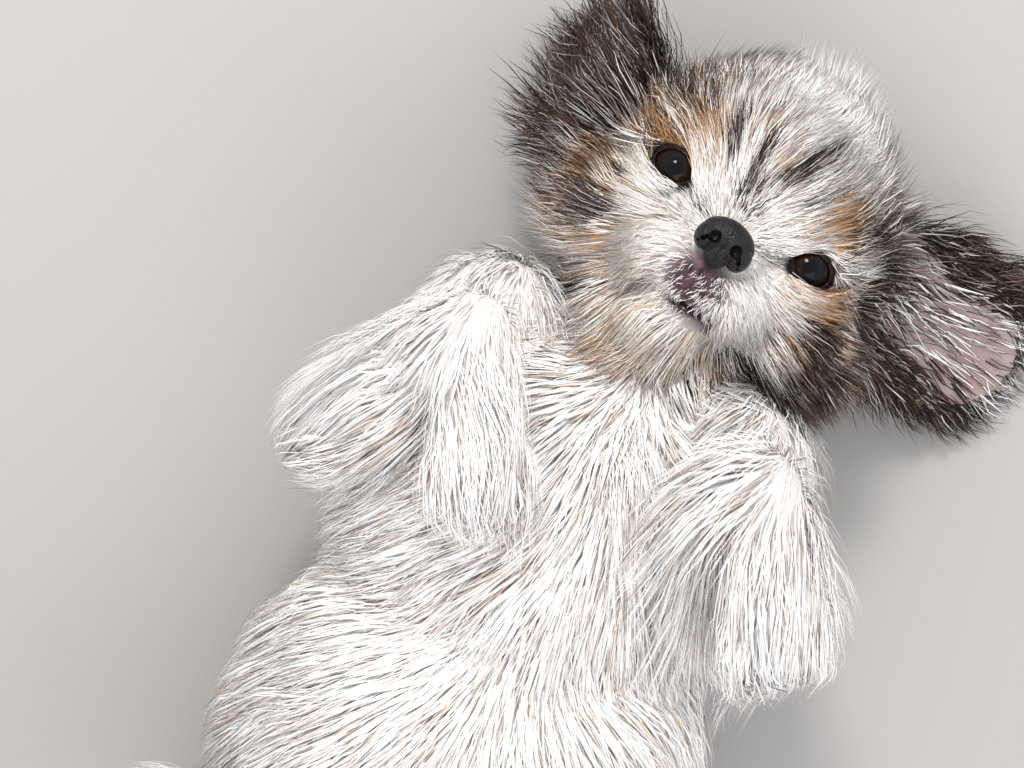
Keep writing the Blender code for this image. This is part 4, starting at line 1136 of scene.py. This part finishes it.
def gather(lines, coat, draw):
    """Draws neighbouring hairs together towards their tips, in small tufts."""
    count = len(lines)
    share = np.linspace(0, 1, lines.shape[1]) ** 1.3
    for spacing, pull in ((coat.clump * 2.6, coat.pull * 0.55), (coat.clump, coat.pull)):
        extent = np.ptp(lines[:, 0], axis=0)
        leaders = draw.permutation(count)[: max(20, int(count * 0.11 * (coat.clump / spacing) ** 2))]
        tree = KDTree(len(leaders))
        for index in leaders:
            tree.insert(lines[index, 0], int(index))
        tree.balance()
        nearest = np.array([tree.find(root)[1] for root in lines[:, 0]])
        target = lines[nearest] + (lines[:, :1] - lines[nearest][:, :1]) * 0.12
        strength = pull * draw.uniform(0.5, 1.3, count)
        strength[draw.random(count) < 0.12] *= 0.1
        lines = lines + (target - lines) * (strength[:, None] * share)[..., None]
    return lines


def clear_of_eyes(lines):
    """Draws in hairs that would cross an eye or the nose leather, and says which ones stay."""
    stays = np.ones(len(lines), bool)
    nose = np.array(on_head(*NOSE_PLACE))
    outside = ~below_nose(lines[:, 0], 1.0)
    for _ in range(7):
        blocked = np.zeros(len(lines), bool)
        for k in range(1, lines.shape[1]):
            middle = (lines[:, k] + lines[:, k - 1]) / 2
            for points in (lines[:, k], middle):
                for side in SIDES:
                    blocked |= openness(points, side) < 0.93
                blocked |= np.linalg.norm(points - nose, axis=1) < 0.0078
                blocked |= below_nose(points, 0.92) & outside
        lines[blocked] = lines[blocked][:, :1] + (lines[blocked] - lines[blocked][:, :1]) * 0.72
    stays &= ~blocked
    return lines, stays


def strands(coat, lines, normals, widths, draw):
    """Every hair as a thin closed three-sided spike along its line, all in one mesh."""
    count, rings = len(lines), lines.shape[1] - 1
    ahead = np.empty_like(lines)
    ahead[:, 1:-1] = lines[:, 2:] - lines[:, :-2]
    ahead[:, 0], ahead[:, -1] = lines[:, 1] - lines[:, 0], lines[:, -1] - lines[:, -2]
    ahead = unit(ahead)
    across = unit(np.cross(ahead, normals))
    twist = draw.uniform(-coat.twist, coat.twist, count)[:, None, None]
    over = np.cross(across, ahead)
    across, over = across * np.cos(twist) + over * np.sin(twist), over * np.cos(twist) - across * np.sin(twist)
    taper = np.interp(np.arange(rings) / rings, (0, 0.3, 0.7, 1.0), (0.80, 1.0, 0.68, 0.35))
    half = (widths[:, None] * taper)[..., None] / 2
    middle = lines[:, :rings]
    left = middle + across[:, :rings] * half
    right = middle - across[:, :rings] * half
    top = middle + over[:, :rings] * half * coat.depth
    verts = np.concatenate([np.stack([left, top, right], 2).reshape(count, rings * 3, 3), lines[:, -1:]], 1)
    per = rings * 3 + 1
    faces = [(2, 1, 0)]
    for ring in range(rings - 1):
        for k in range(3):
            a, b = ring * 3 + k, ring * 3 + (k + 1) % 3
            faces.append((a, b, b + 3, a + 3))
    last = (rings - 1) * 3
    faces += [(last + k, last + (k + 1) % 3, per - 1) for k in range(3)]
    sizes = np.tile([len(face) for face in faces], count)
    flat = np.array([corner for face in faces for corner in face])
    loops = (flat[None] + (np.arange(count) * per)[:, None]).ravel()
    mesh = bpy.data.meshes.new(coat.name)
    mesh.vertices.add(count * per)
    mesh.vertices.foreach_set("co", verts.ravel())
    mesh.loops.add(len(loops))
    mesh.loops.foreach_set("vertex_index", loops)
    mesh.polygons.add(len(sizes))
    starts = np.concatenate([[0], np.cumsum(sizes)[:-1]])
    mesh.polygons.foreach_set("loop_start", starts)
    mesh.update(calc_edges=True)
    mesh.polygons.foreach_set("use_smooth", np.ones(len(sizes), bool))
    along = np.concatenate([np.repeat(np.arange(rings) / rings, 3), [1.0]])
    sideways = np.concatenate([np.tile((0.0, 0.5, 1.0), rings), [0.5]])
    rise = np.concatenate([np.repeat(normals[:, :rings], 3, axis=1), normals[:, -1:]], 1)
    layer = mesh.attributes.new("rise", "FLOAT_VECTOR", "POINT")
    layer.data.foreach_set("vector", rise.astype(np.float32).ravel())
    return mesh, np.tile(along, count), np.tile(sideways, count), loops


def add_bake_map(mesh, flat, along, sideways, loops, patch=0.003):
    """The OFBake map: each hair is a small patch at its root's place on the skin's unwrap."""
    per = len(along) // len(flat)
    places = np.repeat(flat, per, axis=0) + np.stack([sideways - 0.5, along - 0.5], 1) * patch
    layer = mesh.uv_layers.new(name="OFBake")
    layer.data.foreach_set("uv", np.clip(places, 0.0, 1.0)[loops].ravel())


def build_coat(surface, coat, seed):
    draw = np.random.default_rng(seed)
    roots, normals, names, kinds, flat = sample_roots(surface, coat, draw)
    lines, under, lengths = comb(surface, coat, roots, normals, names, draw)
    lines = gather(lines, coat, draw)
    if coat.grows in (on_face, on_crown, on_jaw, on_the_head, on_head_and_ears):
        lines, stays = clear_of_eyes(lines)
        lines, under, roots, kinds, flat = lines[stays], under[stays], roots[stays], kinds[stays], flat[stays]
        lengths = lengths[stays]
    lines[:, :, 2] = np.maximum(lines[:, :, 2], FLOOR_GAP)
    widths = coat.width * draw.uniform(0.6, 1.4, len(lines)) * np.clip(lengths / 0.02, 0.6, 1.1)
    mesh, along, sideways, loops = strands(coat, lines, under, widths, draw)
    add_bake_map(mesh, flat, along, sideways, loops)
    per = len(along) // len(lines)
    seen = roots * 0.45 + lines[:, -1] * 0.55
    masks = markings(seen, kinds)
    if coat.guard:
        masks["dark"] = np.maximum(masks["dark"], 0.95)
    for name, values in masks.items():
        if name not in ("bare", "pigment", "lid"):
            set_attribute(mesh, name, np.repeat(values, per))
    set_attribute(mesh, "along", along)
    set_attribute(mesh, "sideways", sideways)
    set_attribute(mesh, "shade", np.repeat(draw.random(len(lines)), per))
    obj = bpy.data.objects.new(coat.name, mesh)
    bpy.context.scene.collection.objects.link(obj)
    return obj


# Materials


def new_group(name, inputs, outputs):
    group = bpy.data.node_groups.new(name, "ShaderNodeTree")
    for socket, kind, value in inputs:
        made = group.interface.new_socket(socket, in_out="INPUT", socket_type="NodeSocket" + kind)
        made.default_value = value
    for socket, kind in outputs:
        group.interface.new_socket(socket, in_out="OUTPUT", socket_type="NodeSocket" + kind)
    return group, group.nodes.new("NodeGroupInput"), group.nodes.new("NodeGroupOutput")


def mix(tree, factor, first, second, blend="MIX"):
    node = tree.nodes.new("ShaderNodeMix")
    node.data_type = "RGBA"
    node.blend_type = blend
    for socket, value in ((node.inputs[0], factor), (node.inputs[6], first), (node.inputs[7], second)):
        put(tree, socket, value)
    return node.outputs[2]


def put(tree, socket, value):
    """Links an output to a socket, or sets its value."""
    if isinstance(value, bpy.types.NodeSocket):
        tree.links.new(value, socket)
    elif isinstance(value, tuple):
        socket.default_value = (*value, 1.0) if len(value) == 3 and len(socket.default_value) == 4 else value
    else:
        socket.default_value = value


def maths(tree, operation, first, second=0.0, third=0.0):
    node = tree.nodes.new("ShaderNodeMath")
    node.operation = operation
    for socket, value in zip(node.inputs, (first, second, third)):
        put(tree, socket, value)
    return node.outputs[0]


def remap(tree, value, low, high, start=0.0, end=1.0):
    node = tree.nodes.new("ShaderNodeMapRange")
    put(tree, node.inputs["Value"], value)
    for socket, number in (("From Min", low), ("From Max", high), ("To Min", start), ("To Max", end)):
        node.inputs[socket].default_value = number
    return node.outputs["Result"]


def attribute(tree, name):
    node = tree.nodes.new("ShaderNodeAttribute")
    node.attribute_name = name
    return node.outputs["Fac"]


def noise(tree, scale, detail=3.0, roughness=0.55, vector=None):
    node = tree.nodes.new("ShaderNodeTexNoise")
    node.inputs["Scale"].default_value = scale
    node.inputs["Detail"].default_value = detail
    node.inputs["Roughness"].default_value = roughness
    if vector is None:
        vector = tree.nodes.new("ShaderNodeTexCoord").outputs["Object"]
    tree.links.new(vector, node.inputs["Vector"])
    return node.outputs["Fac"]


def material(name):
    made = bpy.data.materials.new(name)
    made.use_nodes = True
    return made, made.node_tree, made.node_tree.nodes["Principled BSDF"]


WHITE = (0.97, 0.95, 0.93)
CREAM = (0.84, 0.69, 0.50)
TAN = (0.50, 0.26, 0.105)
UMBER = (0.080, 0.041, 0.023)
BLACK = (0.008, 0.006, 0.006)


def coat_tone_group():
    """The coat's colour from its markings: one set of sockets for skin and hair."""
    group, given, result = new_group(
        "coat tone",
        [
            ("White", "Color", (*WHITE, 1)), ("Cream", "Color", (*CREAM, 1)), ("Tan", "Color", (*TAN, 1)),
            ("Umber", "Color", (*UMBER, 1)), ("Black", "Color", (*BLACK, 1)), ("Cream Mask", "Float", 0.0),
            ("Tan Mask", "Float", 0.0), ("Dark Mask", "Float", 0.0), ("Tip Mask", "Float", 0.0),
            ("Along", "Float", 0.0), ("Shade", "Float", 0.5),
        ],
        [("Color", "Color")],
    )
    sockets = given.outputs
    shade = maths(group, "SUBTRACT", sockets["Shade"], 0.5)
    tan = maths(group, "MULTIPLY_ADD", shade, 0.95, sockets["Tan Mask"])
    tan = remap(group, tan, 0.15, 0.85)
    dark = maths(group, "MULTIPLY_ADD", shade, 0.85, sockets["Dark Mask"])
    dark = remap(group, dark, 0.30, 0.80)
    cream = maths(group, "MULTIPLY_ADD", shade, 0.4, sockets["Cream Mask"])
    cream = remap(group, cream, 0.10, 1.10)
    tips = maths(group, "MULTIPLY_ADD", shade, 1.3, sockets["Tip Mask"])
    tips = remap(group, tips, 0.50, 1.10)
    tips = maths(group, "MULTIPLY", tips, remap(group, sockets["Along"], 0.25, 0.80))
    colour = mix(group, cream, sockets["White"], sockets["Cream"])
    colour = mix(group, tan, colour, sockets["Tan"])
    deep = mix(group, remap(group, dark, 0.5, 1.0), sockets["Umber"], sockets["Black"])
    colour = mix(group, dark, colour, deep)
    colour = mix(group, tips, colour, sockets["Umber"])
    value = maths(group, "MULTIPLY_ADD", shade, 0.08, 1.0)
    bright = group.nodes.new("ShaderNodeHueSaturation")
    group.links.new(colour, bright.inputs["Color"])
    group.links.new(value, bright.inputs["Value"])
    group.links.new(bright.outputs["Color"], result.inputs["Color"])
    return group


coat_tone = coat_tone_group()


def add_coat_tone(tree, along=None, shade=None):
    node = tree.nodes.new("ShaderNodeGroup")
    node.node_tree = coat_tone
    for socket, name in (("Cream Mask", "cream"), ("Tan Mask", "tan"), ("Dark Mask", "dark"), ("Tip Mask", "tips")):
        tree.links.new(attribute(tree, name), node.inputs[socket])
    if along is not None:
        tree.links.new(along, node.inputs["Along"])
    if shade is not None:
        tree.links.new(shade, node.inputs["Shade"])
    return node.outputs["Color"]


def hair_material():
    """Hair shaded partly as the coat's own surface, so that it looks soft, with fine streaks along wide locks."""
    made, tree, shader = material("hair")
    shade = attribute(tree, "shade")
    streak = tree.nodes.new("ShaderNodeCombineXYZ")
    tree.links.new(maths(tree, "MULTIPLY", attribute(tree, "sideways"), 2.6), streak.inputs[0])
    tree.links.new(maths(tree, "MULTIPLY", attribute(tree, "along"), 0.8), streak.inputs[1])
    tree.links.new(maths(tree, "MULTIPLY", shade, 90.0), streak.inputs[2])
    varied = maths(tree, "ADD", shade, remap(tree, noise(tree, 1.0, 2.0, 0.5, streak.outputs[0]), 0.3, 0.7, -0.30, 0.30))
    colour = add_coat_tone(tree, attribute(tree, "along"), varied)
    tree.links.new(colour, shader.inputs["Base Color"])
    shader.inputs["Roughness"].default_value = 0.65
    shader.inputs["Specular IOR Level"].default_value = 0.12
    own = tree.nodes.new("ShaderNodeNewGeometry").outputs["Normal"]
    coat_normal = tree.nodes.new("ShaderNodeAttribute")
    coat_normal.attribute_name = "rise"
    blend = tree.nodes.new("ShaderNodeMix")
    blend.data_type = "VECTOR"
    blend.inputs[0].default_value = 0.25
    tree.links.new(own, blend.inputs[4])
    tree.links.new(coat_normal.outputs["Vector"], blend.inputs[5])
    length = tree.nodes.new("ShaderNodeVectorMath")
    length.operation = "NORMALIZE"
    tree.links.new(blend.outputs[1], length.inputs[0])
    tree.links.new(length.outputs["Vector"], shader.inputs["Normal"])
    return made


def skin_material():
    made, tree, shader = material("skin")
    grain = noise(tree, 420.0, 4.0)
    shade = remap(tree, grain, 0.2, 0.8)
    colour = add_coat_tone(tree, None, shade)
    dim = mix(tree, 0.25, colour, (0.35, 0.24, 0.19), "MULTIPLY")
    pink = mix(tree, remap(tree, noise(tree, 90.0), 0.35, 0.7), (0.24, 0.170, 0.160), (0.35, 0.270, 0.260))
    colour = mix(tree, attribute(tree, "bare"), dim, pink)
    mottled = mix(tree, remap(tree, noise(tree, 260.0), 0.35, 0.65), (0.026, 0.012, 0.018), (0.105, 0.050, 0.068))
    colour = mix(tree, attribute(tree, "pigment"), colour, mottled)
    colour = mix(tree, attribute(tree, "lid"), colour, (0.008, 0.005, 0.006))
    tree.links.new(colour, shader.inputs["Base Color"])
    tree.links.new(remap(tree, attribute(tree, "lid"), 0.0, 1.0, 0.45, 0.24), shader.inputs["Roughness"])
    shader.inputs["Specular IOR Level"].default_value = 0.20
    bump = tree.nodes.new("ShaderNodeBump")
    bump.inputs["Strength"].default_value = 0.35
    bump.inputs["Distance"].default_value = 0.0004
    tree.links.new(noise(tree, 900.0, 2.0), bump.inputs["Height"])
    tree.links.new(bump.outputs["Normal"], shader.inputs["Normal"])
    return made


def leather_material():
    """Moist black nose leather with a pebbled grain."""
    made, tree, shader = material("nose leather")
    place = tree.nodes.new("ShaderNodeTexCoord").outputs["Object"]
    pebbles = tree.nodes.new("ShaderNodeTexVoronoi")
    pebbles.inputs["Scale"].default_value = 1500.0
    tree.links.new(place, pebbles.inputs["Vector"])
    tone = mix(tree, remap(tree, noise(tree, 300.0), 0.3, 0.7), (0.0045, 0.0045, 0.0055), (0.012, 0.012, 0.014))
    tree.links.new(tone, shader.inputs["Base Color"])
    tree.links.new(remap(tree, noise(tree, 700.0), 0.3, 0.7, 0.26, 0.42), shader.inputs["Roughness"])
    shader.inputs["Specular IOR Level"].default_value = 0.20
    bump = tree.nodes.new("ShaderNodeBump")
    bump.invert = True
    bump.inputs["Strength"].default_value = 0.7
    bump.inputs["Distance"].default_value = 0.00035
    tree.links.new(pebbles.outputs["Distance"], bump.inputs["Height"])
    tree.links.new(bump.outputs["Normal"], shader.inputs["Normal"])
    return made


def eye_material(side):
    """Dark brown iris round a black pupil, with a dark ring round the iris and paler white past it, under a wet clear
    coat.
    """
    made, tree, shader = material("eye " + SIDES[side])
    place = tree.nodes.new("ShaderNodeTexCoord").outputs["Object"]
    centred = tree.nodes.new("ShaderNodeMapping")
    centred.vector_type = "TEXTURE"
    centred.inputs["Location"].default_value = eye_centre(side)
    centred.inputs["Rotation"].default_value = eye_turn(side).to_euler()
    tree.links.new(place, centred.inputs["Vector"])
    split = tree.nodes.new("ShaderNodeSeparateXYZ")
    tree.links.new(centred.outputs["Vector"], split.inputs[0])
    across, up = split.outputs[0], split.outputs[1]
    radius = maths(tree, "SQRT", maths(tree, "ADD", maths(tree, "MULTIPLY", across, across),
                                       maths(tree, "MULTIPLY", up, up)))
    spokes = maths(tree, "ARCTAN2", across, up)
    combined = tree.nodes.new("ShaderNodeCombineXYZ")
    tree.links.new(maths(tree, "MULTIPLY", spokes, 9.0), combined.inputs[0])
    tree.links.new(maths(tree, "MULTIPLY", radius, 260.0), combined.inputs[1])
    fibre = noise(tree, 2.0, 4.0, 0.6, combined.outputs[0])
    iris = mix(tree, remap(tree, fibre, 0.35, 0.7), (0.006, 0.0028, 0.0020), (0.028, 0.011, 0.005))
    pupil = remap(tree, radius, 0.0032, 0.0040)
    colour = mix(tree, pupil, (0.003, 0.003, 0.004), iris)
    ring = remap(tree, radius, 0.0053, 0.0060)
    colour = mix(tree, ring, colour, (0.012, 0.008, 0.008))
    white = remap(tree, radius, 0.0063, 0.0068)
    colour = mix(tree, white, colour, (0.35, 0.28, 0.26))
    tree.links.new(colour, shader.inputs["Base Color"])
    shader.inputs["Roughness"].default_value = 0.50
    shader.inputs["Specular IOR Level"].default_value = 0.0
    shader.inputs["Coat Weight"].default_value = 0.40
    shader.inputs["Coat Roughness"].default_value = 0.01
    shader.inputs["Coat IOR"].default_value = 1.376
    return made


def claw_material():
    made, tree, shader = material("claw horn")
    tone = mix(tree, remap(tree, noise(tree, 500.0), 0.3, 0.7), (0.35, 0.26, 0.21), (0.62, 0.52, 0.44))
    tree.links.new(tone, shader.inputs["Base Color"])
    shader.inputs["Roughness"].default_value = 0.32
    return made


# Eyes, nose leather and claws


def build_eye(side):
    """An eyeball with a cornea that stands out a little, its front along the gaze."""
    editor = bmesh.new()
    bmesh.ops.create_uvsphere(editor, u_segments=64, v_segments=48, radius=EYE_RADIUS)
    for vertex in editor.verts:
        around = math.hypot(vertex.co.x, vertex.co.y)
        if vertex.co.z > 0 and around < 0.0060:
            vertex.co.z += 0.0009 * (1 - (around / 0.0060) ** 2)
    bmesh.ops.transform(editor, matrix=Matrix.Translation(eye_centre(side)) @ eye_turn(side), verts=editor.verts)
    obj = shade_smooth(add_object("eyeball_" + SIDES[side], editor))
    obj.data.materials.append(eye_material(side))
    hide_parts("eye_" + SIDES[side])
    return obj


def build_nose():
    """The nose leather: a pad with a rounded top, two wings, nostrils and a groove."""
    turn = head_frame.to_quaternion().to_matrix().to_4x4()
    centre = on_head(*NOSE_PLACE)
    across, up, out = (head_turn @ Vector(axis) for axis in ((1, 0, 0), (0, 1, 0), (0, 0, 1)))
    forms = [
        Ball(centre + up * 0.0012, (0.0086, 0.0062, 0.0060), turn),
        Ball(centre - up * 0.0030, (0.0040, 0.0046, 0.0057), turn),
    ]
    for side in SIDES:
        forms.append(Ball(centre + across * side * 0.0055 - up * 0.0008 + out * 0.0004, (0.0036, 0.0043, 0.0056), turn))
    leather = one_surface("nose_leather", forms, 0.00028, 5)
    holes = []
    for side in SIDES:
        hole = centre + across * side * 0.0036 - up * 0.0002 + out * 0.0058
        holes.append(Ball(hole, (0.0018, 0.0020, 0.0032), turn))
        for step in range(1, 5):
            slit = hole + across * side * step * 0.00085 - up * (0.0004 * step + 0.00012 * step * step) - out * 0.0002 * step
            holes.append(Ball(slit, (0.0011 - 0.00012 * step, 0.0009 - 0.0001 * step, 0.0026), turn))
    combine(leather, one_surface("nostrils", holes, 0.00022, 2), "DIFFERENCE")
    places = vertex_places(leather)
    head = to_head(places)
    groove = np.exp(-((head[:, 0] / 0.00045) ** 2)) * ramp(head[:, 1], -0.0085, -0.0115)
    moved = places - from_head(np.array([[0, 0, 1.0]]))[0] * (0.0007 * groove)[:, None]
    leather.data.vertices.foreach_set("co", moved.ravel())
    leather.data.update()
    leather.data.materials.clear()
    leather.data.materials.append(leather_material())
    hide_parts("nose")
    return shade_smooth(leather)


def add_claw(editor, toe, axes):
    """A short curved claw from the end of a toe."""
    across, under, along = axes
    claw = bmesh.new()
    bmesh.ops.create_cone(claw, cap_ends=True, segments=12, radius1=0.0011, radius2=0.00025, depth=0.0058)
    lengths = [edge for edge in claw.edges if abs(edge.verts[0].co.z - edge.verts[1].co.z) > 0.001]
    bmesh.ops.subdivide_edges(claw, edges=lengths, cuts=4)
    placed = Matrix.Translation(toe + along * 0.0100 - under * 0.0012)
    placed = placed @ Matrix((across, under, along)).transposed().to_4x4()
    for vertex in claw.verts:
        height = vertex.co.z + 0.003
        vertex.co.y += 60.0 * height * height
        vertex.co = placed @ vertex.co
    join_in(editor, claw)


def build_claws():
    editor = bmesh.new()
    for paws in (FOREPAW, HINDPAW):
        for paw in paws.values():
            for toe in paw_toes(*paw):
                add_claw(editor, toe, paw_axes(*paw[:3]))
    claws = shade_smooth(add_object("claws", editor))
    claws.data.materials.append(claw_material())
    return claws


def build_teeth():
    """The small lower front teeth, which show in the mouth's gap."""
    editor = bmesh.new()
    for share in (-0.62, -0.47, -0.30, -0.12, 0.03):
        place = mouth_point(share) + head_turn @ Vector((0, -0.0004, -0.0024))
        turn = head_frame.to_quaternion().to_matrix().to_4x4()
        Ball(place, (0.00078, 0.00125, 0.00095), turn).add(editor)
    teeth = shade_smooth(add_object("teeth", editor))
    made, tree, shader = material("tooth enamel")
    shader.inputs["Base Color"].default_value = (0.80, 0.77, 0.70, 1)
    shader.inputs["Roughness"].default_value = 0.25
    teeth.data.materials.append(made)
    return teeth


# Floor, light and camera


def add_area_light(name, place, target, size, power, colour=(1, 1, 1)):
    light = bpy.data.lights.new(name, "AREA")
    light.shape = "SQUARE"
    light.size = size
    light.energy = power
    light.color = colour
    obj = bpy.data.objects.new(name, light)
    bpy.context.scene.collection.objects.link(obj)
    obj.location = place
    obj.rotation_euler = (Vector(target) - Vector(place)).to_track_quat("-Z", "Y").to_euler()


def build_studio():
    editor = bmesh.new()
    bmesh.ops.create_grid(editor, x_segments=1, y_segments=1, size=6.0)
    floor = add_object("floor", editor)
    made, tree, shader = material("pale floor")
    shader.inputs["Base Color"].default_value = (0.36, 0.345, 0.33, 1)
    shader.inputs["Roughness"].default_value = 0.85
    floor.data.materials.append(made)
    world = bpy.data.worlds.new("studio")
    world.use_nodes = True
    world.node_tree.nodes["Background"].inputs["Color"].default_value = (0.94, 0.96, 1.0, 1)
    height = world.node_tree.nodes.new("ShaderNodeSeparateXYZ")
    place = world.node_tree.nodes.new("ShaderNodeTexCoord")
    world.node_tree.links.new(place.outputs["Generated"], height.inputs[0])
    glow = remap(world.node_tree, height.outputs["Z"], 0.55, 1.0, 1.50, 0.92)
    world.node_tree.links.new(glow, world.node_tree.nodes["Background"].inputs["Strength"])
    bpy.context.scene.world = world
    bpy.context.scene.view_settings.view_transform = "Standard"
    middle = (0.0, -0.04, 0.05)
    add_area_light("window", (-0.40, 0.56, 0.92), middle, 0.24, 9.0, (1.0, 0.98, 0.95))
    add_area_light("fill", (0.60, -0.75, 0.80), middle, 1.0, 6.0, (0.98, 0.98, 1.0))


def build_camera():
    camera = bpy.data.cameras.new("camera")
    camera.lens = 98.4
    camera.sensor_width = 36.0
    camera.clip_start = 0.01
    obj = bpy.data.objects.new("camera", camera)
    bpy.context.scene.collection.objects.link(obj)
    obj.matrix_world = Matrix.Translation((-0.0335, 0.0, 0.885)) @ Matrix.Rotation(math.radians(28.0), 4, "Z")
    bpy.context.scene.camera = obj


FLESH = ["head", "neck", "torso", "tail"]
for word in SIDES.values():
    FLESH += [part + "_" + word for part in ("ear", "foreleg", "forepaw", "hindleg", "hindpaw")]

build_camera()
build_studio()
skin = build_skin()
surface = Surface(skin)
_, skin_kinds = nearest_region(surface.places)
for name, values in markings(surface.places, skin_kinds).items():
    set_attribute(skin.data, name, values)
skin.data.materials.clear()
skin.data.materials.append(skin_material())
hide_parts(*FLESH)
pieces = [skin, build_nose(), build_teeth(), build_claws()] + [build_eye(side) for side in SIDES]
hair = hair_material()
for seed, coat in enumerate(COATS):
    made = build_coat(surface, coat, 40 + seed)
    made.data.materials.append(hair)
    pieces.append(made)
for piece in pieces:
    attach(piece, "root")
